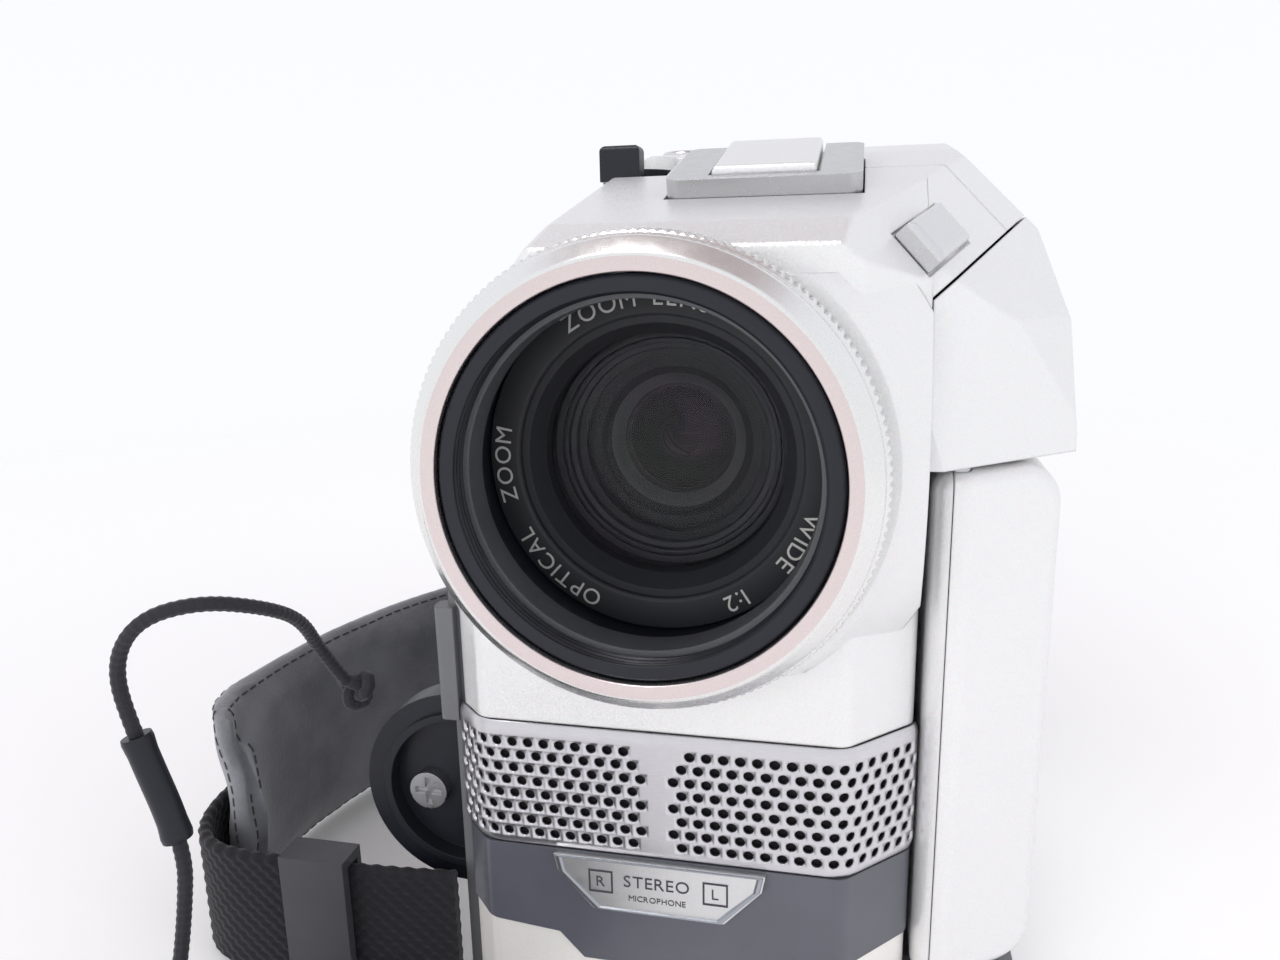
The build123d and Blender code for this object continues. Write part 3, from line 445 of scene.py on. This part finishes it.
def letter_mesh(character, size, depth):
    """Points and faces of one character, upright in X and Y, and its width."""
    curve = bpy.data.curves.new("letter", "FONT")
    curve.body, curve.size, curve.extrude = character, size, depth
    curve.resolution_u = 4
    holder = bpy.data.objects.new("letter", curve)
    bpy.context.scene.collection.objects.link(holder)
    bpy.context.view_layer.update()
    mesh = bpy.data.meshes.new_from_object(holder.evaluated_get(bpy.context.evaluated_depsgraph_get()))
    points = [vertex.co.copy() for vertex in mesh.vertices]
    faces = [tuple(face.vertices) for face in mesh.polygons]
    bpy.data.objects.remove(holder)
    bpy.data.curves.remove(curve)
    bpy.data.meshes.remove(mesh)
    if not points:
        return [], [], size * 0.42
    left = min(point.x for point in points)
    width = max(point.x for point in points) - left
    return [Vector((point.x - left, point.y, point.z)) for point in points], faces, width


def lettering(name, text, size, place, material, gap=0.16, depth=0.02 * MM):
    """Raised generic lettering; place(x, y, z) puts a point of the line of text in the frame."""
    points, faces, run = [], [], 0.0
    for character in text:
        shape, sides, width = letter_mesh(character, size, depth)
        first = len(points)
        points += [(run + point.x, point.y, point.z) for point in shape]
        faces += [tuple(first + index for index in side) for side in sides]
        run += width + gap * size
    placed = [place(x - run / 2, y, z) for x, y, z in points]
    return mesh_piece(name, placed, faces, [material])


# ---------------------------------------------------------------- lens
def make_manual_ring():
    """Silver ring: flat lip, bright bevel and a band of fine upright teeth."""
    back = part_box("manual_ring")[1].y / MM
    front = RING_FRONT / MM
    teeth, per_tooth = 156, 6
    outline = rounded([(20.55, front, 0), (22.3, front, 1), (23.9, front + 1.7, 1), (24.0, front + 2.7, 1),
                       (24.6, front + 3.1, 1), (24.6, front + 6.5, 1), (23.9, back, 1), (20.55, back, 1)], 0.28)
    low, high = front + 2.9, front + 6.7

    def toothed(radius, y, angle, step):
        inside = min(1.0, max(0.0, min(y - low, high - y) / 0.3))
        wave = abs((step % per_tooth) / per_tooth * 2 - 1)
        return radius - 0.42 * inside * (1 - min(1.0, wave * 1.6)) * (radius > 24.0)

    piece = turned("manual_ring_teeth", outline, [materials["ring_lip"], materials["ring_metal"]],
                   teeth * per_tooth, shape=toothed, sharp=30)
    settle(piece, "manual_ring", "ring_metal", "manual_ring")


def make_filter_ring():
    """Black ring with its flat face, the screw thread inside it and a rough rim behind the thread."""
    low, high = (part / MM for part in (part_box("filter_ring")[0].y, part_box("filter_ring")[1].y))
    thread_end, pitch = low + 2.5, 0.75
    face = [(18.75, low, 0), (20.1, low, 0), (20.47, low + 0.4, 0), (20.47, high, 0), (19.5, high, 0),
            (19.5, low + 6.4, 0), (18.0, low + 6.4, 1), (18.0, thread_end + 0.05, 1)]
    wall = [(18.5, thread_end - step * 0.09, 0) for step in range(1, 26)]

    def threaded(radius, y, angle, step):
        if abs(radius - 18.5) > 0.01:
            return radius
        turn = (y / pitch + angle / (2 * pi)) % 1.0
        return radius + 0.30 * abs(2 * turn - 1)

    piece = turned("filter_ring_thread", rounded(face, 0.16, 3)[:-1] + wall,
                   [materials["black_satin"], materials["black_rim"]], 256,
                   shape=threaded)
    settle(piece, "body", "black_satin", "filter_ring")


def make_name_ring():
    """Flat black ring round the front glass, with generic lettering."""
    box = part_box("name_ring")
    front, back = box[0].y / MM, box[1].y / MM
    outline = rounded([(16.1, front, 0), (19.3, front, 0), (19.3, back, 0), (15.8, back, 0),
                       (15.8, front + 0.3, 0)], 0.12, 3)
    piece = turned("name_ring_face", outline, [materials["black_matte"]], 192)
    settle(piece, "body", "black_matte", "name_ring")
    for number, (text, middle) in enumerate((("ZOOM LENS", 97), ("OPTICAL  ZOOM", 207), ("WIDE   1:2", -42))):
        def place(x, y, z, middle=radians(middle)):
            radius, angle = 16.9 * MM + y, middle - x / (17.9 * MM)
            return (LENS_X + radius * cos(angle), (front - 0.02) * MM - z, LENS_Z + radius * sin(angle))
        marks = lettering(f"ring_lettering_{number + 1}", text, 2.7 * MM, place, materials["print_grey"])
        settle(marks, "body", "black_matte")


def spherical(radius, vertex, curve, sign, count=14):
    """Points from the axis to the edge of a spherical face; sign 1 bulges forwards."""
    face = []
    for step in range(count + 1):
        r = radius * step / count
        face.append((r, vertex + sign * (curve - (curve * curve - r * r) ** 0.5), 0))
    return face


def lens_element(name, body, radius, front, back, curves, coating, *replaced):
    """Glass element between two spherical faces."""
    outline = spherical(radius, front, curves[0], 1) + spherical(radius, back, curves[1], -1)[::-1]
    piece = turned(name, outline, [materials[coating]], 128, closed=False, sharp=60)
    return settle(piece, body, "lens_glass", *replaced)


def make_lens():
    """Glass elements and the black stepped rings that hold them."""
    lens_element("front_element", "body", 13.74, -36.0, -30.4, (26, 70), "front_coating", "front_glass")
    satin_rim = [materials["black_satin"], materials["black_rim"]]
    steps = [(12.9, -29.9), (12.3, -29.9), (12.3, -28.9), (11.6, -28.9), (11.6, -27.7), (10.6, -27.7),
             (10.6, -26.8), (12.9, -26.8)]
    baffle = turned("lens_baffle", rounded([(r, y, 0) for r, y in steps], 0.1, 2),
                    [materials["black_satin"]], 160)
    settle(baffle, "body", "black_satin")
    lens_element("second_element", "body", 11.5, -28.9, -27.8, (200, 200), "green_coating")
    zoom_low, zoom_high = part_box("zoom_group")
    front, back = zoom_low.y / MM + 0.4, zoom_high.y / MM
    cell = [(9.2, front, 0), (14.2, front, 0), (14.2, back, 0), (9.2, back, 0), (7.0, back, 0),
            (6.4, back - 1.4, 0),
            (7.0, front + 2.6, 1), (8.4, front + 1.0, 0)]
    holder = turned("zoom_cell", rounded(cell, 0.2, 3), satin_rim, 160)
    settle(holder, "zoom_group", "black_satin", "zoom_group")
    lens_element("zoom_element", "zoom_group", 6.9, front + 1.9, back - 1.2, (16, 30), "violet_coating")
    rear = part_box("focus_group")
    front, back = rear[0].y / MM + 0.1, rear[1].y / MM
    cell = [(5.4, front, 1), (6.0, front, 0), (14.2, front, 0), (14.2, back, 0), (5.4, back, 0)]
    holder = turned("focus_cell", rounded(cell, 0.15, 3), satin_rim, 128)
    settle(holder, "focus_group", "black_satin", "focus_group")
    lens_element("focus_element", "focus_group", 5.38, front + 0.4, back - 0.4, (12, 16), "amber_coating")
    iris = [(2.6, -20.7, 0), (9.0, -20.2, 0), (13.8, -20.2, 0), (13.8, -19.7, 0),
            (9.0, -19.7, 0), (2.6, -20.3, 0)]
    blades = turned("iris_cone", rounded(iris, 0.1, 2), [materials["black_satin"]], 96)
    settle(blades, "zoom_group", "black_satin")


# ---------------------------------------------------------------- front trims
def bent_path(corners, radius, steps=6):
    """Plan path in mm through corners, each rounded to about this radius."""
    path = [Vector(corners[0])]
    for before, here, after in zip(corners, corners[1:], corners[2:]):
        before, here, after = Vector(before), Vector(here), Vector(after)
        reach = min(radius * 0.41, 0.48 * (here - before).length, 0.48 * (after - here).length)
        start = here + (before - here).normalized() * reach
        end = here + (after - here).normalized() * reach
        shares = [step / steps for step in range(steps + 1)]
        path += [start.lerp(here, t).lerp(here.lerp(end, t), t) for t in shares]
    return path + [Vector(corners[-1])]


def follow(path):
    """Function from distance along a path to its point and direction, with the middle of X at 0."""
    marks = [0.0]
    for first, second in zip(path, path[1:]):
        marks.append(marks[-1] + (second - first).length)
    zero = next(mark - (spot.x / (spot.x - last.x)) * (mark - old)
                for last, spot, old, mark in zip(path, path[1:], marks, marks[1:]) if last.x < 0 <= spot.x)

    def at(distance):
        distance = min(max(distance + zero, 0.0), marks[-1])
        index = next((i for i in range(1, len(marks)) if marks[i] >= distance), len(marks) - 1)
        span = marks[index] - marks[index - 1]
        share = (distance - marks[index - 1]) / span
        direction = (path[index] - path[index - 1]).normalized()
        return path[index - 1].lerp(path[index], share), direction

    return at, -zero, marks[-1] - zero


def skin_corners(box, inset=0.0):
    """Plan corners of the casing's front, from the left end to the right end of a trim."""
    low, high = box
    left, right, front = low.x / MM + inset, high.x / MM - inset, low.y / MM + inset
    flat = 21.23 - 0.41 * inset
    return [(left, front + abs(left) - flat + 1.0), (left, front + abs(left) - flat), (-flat, front), (flat, front),
            (right, front + right - flat), (right, high.y / MM)]


def make_grille():
    """Perforated metal grille bent round the front, over dark felt."""
    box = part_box("microphone_grille")
    at, start, end = follow(bent_path(skin_corners(box), 5.0))
    low, high = box[0].z / MM, box[1].z / MM
    pitch, rows, hole, around = 1.91, 8, 0.62, 16
    step = pitch / 2
    row_height = pitch * 0.866
    holes_low = (low + high) / 2 - rows * row_height / 2 - 0.35
    levels = [low, low + 0.12, low + 0.4]
    levels += [holes_low + row * row_height for row in range(rows + 1)]
    levels += [high - 1.1, high - 0.5, high - 0.15, high]
    first_row = 3
    columns = range(int(start / step) + 1, int(end / step))
    points, faces, lookup = [], [], {}

    def put(u, v):
        key = (round(u, 3), round(v, 3))
        if key not in lookup:
            spot, direction = at(u)
            outward = Vector((direction.y, -direction.x))
            near_edge = min(v - low, high - v)
            sunk = 0.35 * max(0.0, 1 - near_edge / 1.1) ** 2
            spot = spot - outward * sunk
            lookup[key] = len(points)
            points.append((spot.x * MM, spot.y * MM, v * MM))
        return lookup[key]

    def has_hole(row, centre):
        """Whether a hole sits on this half-pitch column in this row, counted from the top."""
        if row < 0 or row >= rows or (row % 2 == 0) != (centre % 2 == 0):
            return False
        blank = 4 if row == 0 else (2 if row % 2 == 0 else 3)
        return abs(centre) >= blank and columns[0] < centre < columns[-1]

    for level, (bottom, top) in enumerate(zip(levels, levels[1:])):
        row = rows - 1 - (level - first_row)
        taken = set()
        for centre in columns:
            if not has_hole(row, centre):
                continue
            taken.update((centre - 1, centre))
            u, v = centre * step, (bottom + top) / 2
            rim = [put(u + dx * step, edge) for edge, dx in ((top, 1), (top, 0), (top, -1), (bottom, -1), (bottom, 0),
                                                             (bottom, 1))]
            turns = [atan2(edge - v, dx * step) % (2 * pi) for edge, dx in
                     ((top, 1), (top, 0), (top, -1), (bottom, -1), (bottom, 0), (bottom, 1))]
            ring = [put(u + hole * cos(2 * pi * k / around), v + hole * sin(2 * pi * k / around))
                    for k in range(around)]
            owner = [min(range(6), key=lambda i, k=k: abs((turns[i] - 2 * pi * k / around + pi) % (2 * pi) - pi))
                     for k in range(around)]
            for k in range(around):
                other = (k + 1) % around
                corners = [rim[owner[k]], ring[k], ring[other], rim[owner[other]]]
                faces.append(list(dict.fromkeys(corners)))
        for column in columns[:-1]:
            if column not in taken:
                u = column * step
                faces.append([put(u, bottom), put(u + step, bottom), put(u + step, top), put(u, top)])
    grille = mesh_piece("grille_sheet", points, faces, [materials["grille_metal"]], sharp=50)
    thick = grille.modifiers.new("thickness", "SOLIDIFY")
    thick.thickness, thick.offset = 0.6 * MM, -1.0
    if grille.data.polygons[0].normal.y > 0:
        grille.data.flip_normals()
    settle(grille, "body", "grille_metal", "microphone_grille")
    backing = [(u, v) for u in range(60) for v in (low + 0.3, high - 0.3)]
    points = []
    for u, v in backing:
        spot, direction = at(start + (end - start) * u / 59)
        spot = spot - Vector((direction.y, -direction.x)) * 0.95
        points.append((spot.x * MM, spot.y * MM, v * MM))
    faces = [(2 * u, 2 * u + 2, 2 * u + 3, 2 * u + 1) for u in range(59)]
    felt = mesh_piece("grille_felt", points, faces, [materials["felt"]])
    settle(felt, "body", "grille_metal")


def make_plaque():
    """Bevelled rim and generic channel marks on the plaque."""
    low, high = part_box("stereo_plaque")
    front = low.y
    centre_x = (low.x + high.x) / 2
    half = (high.x - low.x) / 2
    foot = 7.8 * MM
    shoulder = high.z - 2.0 * MM
    outline = [(-half, high.z), (half, high.z), (half - 0.4 * MM, shoulder), (foot, low.z), (-foot, low.z),
               (-half + 0.4 * MM, shoulder)]
    middle = Vector((0, (low.z + high.z) / 2))
    points, faces = [], []
    for inset, y in ((0.0, front + 0.3 * MM), (0.25 * MM, front - 0.25 * MM), (0.6 * MM, front - 0.25 * MM),
                     (0.85 * MM, front + 0.1 * MM)):
        for x, z in outline:
            away = Vector((x, z)) - middle
            away = away * (1 - inset * 1.25 / away.length) + middle
            points.append((centre_x + away.x, y, away.y))
    for ring in range(3):
        for i in range(6):
            j = (i + 1) % 6
            faces.append((ring * 6 + i, ring * 6 + j, ring * 6 + 6 + j, ring * 6 + 6 + i))
    rim = mesh_piece("plaque_rim", points, faces, [materials["plaque_rim"]], sharp=25)
    settle(rim, "body", "plaque_metal")

    def place_at(x0, z0):
        return lambda x, y, z: (centre_x + x0 + x, front - 0.03 * MM - z, z0 + y)

    top = high.z
    for number, (text, size, x, drop) in enumerate((("STEREO", 2.15, 0.0, 3.3), ("MICROPHONE", 1.05, 0.0, 5.1),
                                                    ("R", 1.9, -6.7, 3.6), ("L", 1.9, 6.9, 3.6))):
        spot = place_at(x * MM, top - drop * MM)
        settle(lettering(f"plaque_lettering_{number + 1}", text, size * MM, spot, materials["print_dark"], 0.12),
               "body", "plaque_metal")
    for number, x in enumerate((-6.8, 6.8)):
        half_w, half_h, line = 1.25 * MM, 1.25 * MM, 0.22 * MM
        points, faces = [], []
        for grow in (0.0, line):
            for depth in (0.0, 0.05 * MM):
                for dx, dz in ((-1, -1), (1, -1), (1, 1), (-1, 1)):
                    points.append((centre_x + x * MM + dx * (half_w + grow), front - 0.01 * MM - depth,
                                   top - 2.95 * MM + dz * (half_h + grow)))
        for i in range(4):
            j = (i + 1) % 4
            faces += [(i, j, 4 + j, 4 + i), (8 + i, 8 + j, 12 + j, 12 + i), (4 + i, 4 + j, 12 + j, 12 + i),
                      (i, j, 8 + j, 8 + i)]
        settle(mesh_piece(f"channel_box_{number + 1}", points, faces, [materials["print_dark"]]), "body",
               "plaque_metal")


# ---------------------------------------------------------------- cord
CORD_ROUTE = [
    (-40.9, -36.2, 42.6), (-42.6, -38.4, 47.4), (-41.4, -43.6, 53.6), (-41.6, -50.0, 57.4),
    (-45.0, -56.0, 60.0), (-50.6, -58.6, 58.6), (-54.4, -58.4, 53.2), (-53.6, -58.0, 46.0),
    (-49.0, -58.0, 32.2), (-50.0, -58.2, 24.4), (-51.0, -59.4, 16.6), (-51.9, -61.6, 9.6),
    (-52.1, -62.4, 4.4),
]
CORD_RADIUS = 0.8 * MM


def cord_line():
    """Points along the smooth line of the cord."""
    curve = bpy.data.curves.new("cord_line", "CURVE")
    curve.dimensions, curve.resolution_u = "3D", 16
    spline = curve.splines.new("NURBS")
    spline.points.add(len(CORD_ROUTE) - 1)
    for point, place in zip(spline.points, CORD_ROUTE):
        point.co = (*(Vector(place) * MM), 1.0)
    spline.order_u = 3
    spline.use_endpoint_u = True
    holder = bpy.data.objects.new("cord_line", curve)
    bpy.context.scene.collection.objects.link(holder)
    bpy.context.view_layer.update()
    mesh = bpy.data.meshes.new_from_object(holder.evaluated_get(bpy.context.evaluated_depsgraph_get()))
    line = [vertex.co.copy() for vertex in mesh.vertices]
    bpy.data.objects.remove(holder)
    bpy.data.curves.remove(curve)
    bpy.data.meshes.remove(mesh)
    return line


def evenly(line, spacing, closed=False):
    """The same line with evenly spaced points."""
    if closed:
        line = line + line[:1]
    marks = [0.0]
    for first, second in zip(line, line[1:]):
        marks.append(marks[-1] + (second - first).length)
    count = max(4, round(marks[-1] / spacing))
    even, index = [], 1
    for step in range(count if closed else count + 1):
        distance = min(marks[-1] * step / count, marks[-1])
        while marks[index] < distance and index < len(marks) - 1:
            index += 1
        share = (distance - marks[index - 1]) / (marks[index] - marks[index - 1])
        even.append(line[index - 1].lerp(line[index], share))
    return even


def tube_along(name, line, radius_at, material, around=24, closed=False):
    """Tube that follows a line without twisting. radius_at(step, angle) gives its radius."""
    points, faces = [], []
    count = len(line)
    side = None
    for step, spot in enumerate(line):
        before = line[(step - 1) % count] if closed or step else spot
        after = line[(step + 1) % count] if closed or step < count - 1 else spot
        ahead = (after - before).normalized()
        if side is None:
            side = ahead.orthogonal().normalized()
        side = (side - ahead * side.dot(ahead)).normalized()
        over = ahead.cross(side)
        for k in range(around):
            angle = 2 * pi * k / around
            points.append(spot + (side * cos(angle) + over * sin(angle)) * radius_at(step, angle))
    for step in range(count if closed else count - 1):
        for k in range(around):
            j = (k + 1) % around
            low, high = step * around, (step + 1) % count * around
            faces.append((low + k, low + j, high + j, high + k))
    if not closed:
        faces.append(tuple(range(around)))
        faces.append(tuple(range((count - 1) * around, count * around)))
    return mesh_piece(name, points, faces, [material], sharp=60)


def braid(spacing, radius):
    """Radius of a braided cord: two sets of strands that cross."""
    def radius_at(step, angle):
        run = step * spacing / (1.9 * MM) * 2 * pi
        return radius * (1 + 0.09 * cos(4 * angle + run) * cos(4 * angle - run))
    return radius_at


def make_cord():
    line = cord_line()
    spacing = 0.17 * MM
    fine = evenly(line, spacing)
    cord = tube_along("cap_cord_braid", fine, braid(spacing, CORD_RADIUS * 0.95), materials["braid"])
    settle(cord, "body", "cord_fabric", "lens_cap_cord")
    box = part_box("cord_knot")
    centre = (box[0] + box[1]) / 2
    size = 0.68 * MM
    loop = [Vector((sin(t) + 2 * sin(2 * t), -sin(3 * t), cos(t) - 2 * cos(2 * t))) * size + centre
            for t in (2 * pi * step / 240 for step in range(240))]
    loop = evenly(loop, spacing, True)
    knot = tube_along("cap_cord_knot", loop, braid(spacing, CORD_RADIUS), materials["braid"], closed=True)
    settle(knot, "body", "cord_fabric", "cord_knot")
    low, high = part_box("cord_sleeve")
    inside = [spot for spot in fine if low.z < spot.z < min(high.z, 46.0 * MM)]
    inside = [spot for spot in inside if spot.x < -48 * MM and spot.y < -56 * MM]
    last = len(inside) - 1

    def sleeve_radius(step, angle):
        near = min(step, last - step) / 12
        return (1.55 + 0.16 * max(0.0, 1 - near) - 0.5 * max(0.0, 0.25 - near)) * MM

    sleeve = tube_along("cap_cord_sleeve", inside, sleeve_radius, materials["black_satin"], 40)
    settle(sleeve, "body", "black_satin", "cord_sleeve")
    length = sum((b - a).length for a, b in zip(line, line[1:]))
    tuple(line[0])


# ---------------------------------------------------------------- hand strap
WEBBING_PATH = [(-26.8, -38.4), (-36, -39.2), (-50, -39.6), (-60.6, -38.6), (-66.2, -33.6), (-68.2, -24),
                (-67.4, -6), (-61.8, 12), (-52.6, 27), (-41.0, 37.2), (-31.4, 41.3)]
PAD_PATH = [(-58.4, -35.0), (-62.6, -30.0), (-64.2, -20), (-62.6, -6), (-57.2, 9.4), (-49.2, 21.8),
            (-40.8, 30.4)]


def smooth_path(points, spacing):
    """Evenly spaced points on a smooth plan curve through these points, in mm."""
    flat = [Vector((x, y, 0)) for x, y in points]
    ends = [flat[0] * 2 - flat[1]] + flat + [flat[-1] * 2 - flat[-2]]
    line = []
    for a, b, c, d in zip(ends, ends[1:], ends[2:], ends[3:]):
        for step in range(24):
            t = step / 24
            line.append(0.5 * (2 * b + (c - a) * t + (2 * a - 5 * b + 4 * c - d) * t * t
                               + (3 * b - a - 3 * c + d) * t ** 3))
    return evenly(line + [flat[-1]], spacing)


def woven_strip(name, path, height, thickness, material, lean=None):
    """Strip of coarse basket weave that stands on edge along a plan path, in mm."""
    low, high = height
    spacing = 0.34
    line = smooth_path(path, spacing)
    across = 64
    points, faces = [], []
    ring = 2 * across
    for step, spot in enumerate(line):
        before, after = line[max(step - 1, 0)], line[min(step + 1, len(line) - 1)]
        ahead = (after - before).normalized()
        out = Vector((ahead.y, -ahead.x, 0))
        for k in range(ring):
            side = 1 if k < across else -1
            share = (k if k < across else ring - 1 - k) / (across - 1)
            edge = min(share, 1 - share) * (high - low)
            weave = cos(2 * pi * step * spacing / 2.1) * cos(2 * pi * share * (high - low) / 1.9)
            half = thickness / 2 * min(1.0, 0.45 + edge / 0.8) + 0.17 * weave * min(1.0, edge / 0.5)
            shift = lean(step / (len(line) - 1), share) if lean else Vector((0, 0, 0))
            place = spot + out * side * half + shift
            wave = 0.10 * cos(2 * pi * step * spacing / 2.1) * (1 if share > 0.5 else -1) * (edge < 0.2)
            points.append((place.x * MM, place.y * MM, (low + share * (high - low) + wave + shift.z) * MM))
    for step in range(len(line) - 1):
        for k in range(ring):
            j = (k + 1) % ring
            faces.append((step * ring + k, step * ring + j, (step + 1) * ring + j, (step + 1) * ring + k))
    faces.append(tuple(range(ring)))
    faces.append(tuple(range((len(line) - 1) * ring, len(line) * ring)))
    return mesh_piece(name, points, faces, [material], sharp=70)


def make_webbing():
    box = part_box("strap_webbing")
    low, high = box[0].z / MM, box[1].z / MM
    strap = woven_strip("strap_weave", WEBBING_PATH, (low, high), 1.5, materials["webbing"])
    settle(strap, "body", "strap_fabric", "strap_webbing")


def pad_form(scale):
    """Slack closed form of the pad, before it is filled."""
    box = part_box("strap_pad")
    low, high = box[0].z / MM + 1.6, box[1].z / MM - 1.6
    line = smooth_path(PAD_PATH, 1.5)[1:-1]
    last = len(line) - 1
    rows, thick = 22, 1.7
    points, faces = [], []
    for side in (1, -1):
        for step, spot in enumerate(line):
            before, after = line[max(step - 1, 0)], line[min(step + 1, last)]
            ahead = (after - before).normalized()
            out = Vector((ahead.y, -ahead.x, 0))
            u = 2 * step / last - 1
            for row in range(rows):
                v = 2 * row / (rows - 1) - 1
                corner = (abs(u) ** 6 + abs(v) ** 6) ** (1 / 6)
                pull = 1.0 if corner <= 1 else 1 / corner
                fill = max(0.0, (1 - abs(u * pull) ** 8) * (1 - abs(v * pull) ** 8)) ** 0.5
                place = spot + ahead * (u * (pull - 1) * 4) + out * side * (0.4 + thick * fill)
                z = (low + high) / 2 + v * pull * (high - low) / 2
                points.append(Vector((place.x, place.y, z)) * MM * scale)
    count = len(line)
    for side in range(2):
        for step in range(last):
            for row in range(rows - 1):
                a = side * count * rows + step * rows + row
                faces.append((a, a + 1, a + rows + 1, a + rows))
    edge = [step * rows for step in range(count)] + [last * rows + row for row in range(1, rows)]
    edge += [step * rows + rows - 1 for step in range(last - 1, -1, -1)] + list(range(rows - 2, 0, -1))
    shift = count * rows
    for a, b in zip(edge, edge[1:] + edge[:1]):
        faces.append((a, b, b + shift, a + shift))
    return mesh_piece("strap_pad_fill", points, faces, [materials["leather"]], sharp=80)


def apply_modifier(piece, name):
    with bpy.context.temp_override(object=piece, active_object=piece, selected_objects=[piece]):
        bpy.ops.object.modifier_apply(modifier=name)


def fill_pad(pad, scale):
    """Cloth simulation: the slack cover swells to its filled shape."""
    remesh = pad.modifiers.new("remesh", "REMESH")
    remesh.mode, remesh.voxel_size = "VOXEL", 1.1 * MM * scale
    apply_modifier(pad, "remesh")
    rest = [vertex.co.copy() for vertex in pad.data.vertices]
    cloth = pad.modifiers.new("cloth", "CLOTH")
    cloth.settings.use_pressure = True
    cloth.settings.uniform_pressure_force = 4.0
    cloth.settings.tension_stiffness = 12.0
    cloth.settings.bending_stiffness = 0.3
    cloth.settings.effector_weights.gravity = 0.0
    scene = bpy.context.scene
    for number in range(1, 21):
        scene.frame_set(number)
    mesh = bpy.data.meshes.new_from_object(pad.evaluated_get(bpy.context.evaluated_depsgraph_get()))
    swollen = [vertex.co.copy() for vertex in mesh.vertices]
    bpy.data.meshes.remove(mesh)
    pad.modifiers.remove(cloth)
    scene.frame_set(1)
    limit = 1.5 * MM * scale
    for vertex, start, end in zip(pad.data.vertices, rest, swollen):
        move = end - start
        if move.length > limit:
            move = move.normalized() * limit
        vertex.co = start + move


def make_pad():
    scale = 10.0
    pad = pad_form(scale)
    fill_pad(pad, scale)
    pad.data.transform(Matrix.Scale(1 / scale, 4))
    pad.data.shade_smooth()
    extra = pad.modifiers.new("smooth", "SUBSURF")
    extra.levels = extra.render_levels = 1
    apply_modifier(pad, "smooth")
    settle(pad, "body", "strap_leather", "strap_pad")
    sew_pad(pad)


def sew_pad(pad):
    """Two rows of stitches laid on both faces of the pad, a little inside its edge."""
    tree = BVHTree.FromObject(pad, bpy.context.evaluated_depsgraph_get())
    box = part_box("strap_pad")
    low, high = box[0].z / MM + 4.2, box[1].z / MM - 4.2
    line = smooth_path(PAD_PATH, 0.5)
    line = line[9:-9]
    points, faces = [], []
    route = [(spot, low) for spot in line] + [(line[-1], low + (high - low) * k / 60) for k in range(1, 60)]
    route += [(spot, high) for spot in line[::-1]]
    route += [(line[0], high - (high - low) * k / 60) for k in range(1, 60)]
    for side in (1, -1):
        laid = []
        for spot, z in route:
            index = min(range(len(line)), key=lambda i: (line[i] - spot).length)
            ahead = (line[min(index + 1, len(line) - 1)] - line[max(index - 1, 0)]).normalized()
            out = Vector((ahead.y, -ahead.x, 0)) * side
            begin = (Vector((spot.x, spot.y, z)) + out * 12) * MM
            hit, normal, _, _ = tree.ray_cast(begin, -out)
            if hit:
                laid.append((hit, normal))
        for (a, na), (b, _) in list(zip(laid, laid[1:]))[::4]:
            ahead = (b - a).normalized()
            over = na.cross(ahead)
            centre, half, wide, tall = (a + b) / 2, 0.75 * MM, 0.16 * MM, 0.14 * MM
            first = len(points)
            for height, long, broad in ((-0.05 * MM, 1.0, 1.0), (tall, 0.7, 0.6)):
                for u, v in ((-1, -1), (1, -1), (1, 1), (-1, 1)):
                    points.append(centre + ahead * u * half * long + over * v * wide * broad + na * height)
            faces += [tuple(first + i for i in side_face) for side_face in box_faces(range(8))]
    stitches = mesh_piece("strap_pad_stitches", points, faces, [materials["thread"]], sharp=80)
    settle(stitches, "body", "strap_fabric")


# ---------------------------------------------------------------- floor
def make_floor():
    half = 1.5
    white = Shader("floor_white", Base_Color=(0.98, 0.98, 0.98), Roughness=0.9, Specular_IOR_Level=0.1,
                   Emission_Color=(1.0, 1.0, 1.0), Emission_Strength=0.12)
    white.to("Normal", white.bump(white.noise(2 * MM, 2), 0.01 * MM))
    corners = [(-half, -half, 0), (half, -half, 0), (half, half, 0), (-half, half, 0)]
    tree = white.tree
    reach = white.add("ShaderNodeVectorMath", operation="LENGTH")
    tree.links.new(white.place, reach.inputs[0])
    mixed = white.add("ShaderNodeMixShader")
    tree.links.new(white.range(reach.outputs["Value"], 0.0, 1.0, 0.10, 0.60), mixed.inputs[0])
    tree.links.new(white.surface.outputs[0], mixed.inputs[1])
    tree.links.new(white.add("ShaderNodeBsdfTransparent").outputs[0], mixed.inputs[2])
    tree.links.new(mixed.outputs[0], tree.nodes["Material Output"].inputs["Surface"])
    mesh_piece("floor", corners, [(0, 1, 2, 3)], [white.material])


make_camera()
make_cord()
make_light()
dress_nodes()
make_manual_ring()
make_filter_ring()
make_name_ring()
make_lens()
make_grille()
make_plaque()
make_webbing()
make_pad()
make_floor()
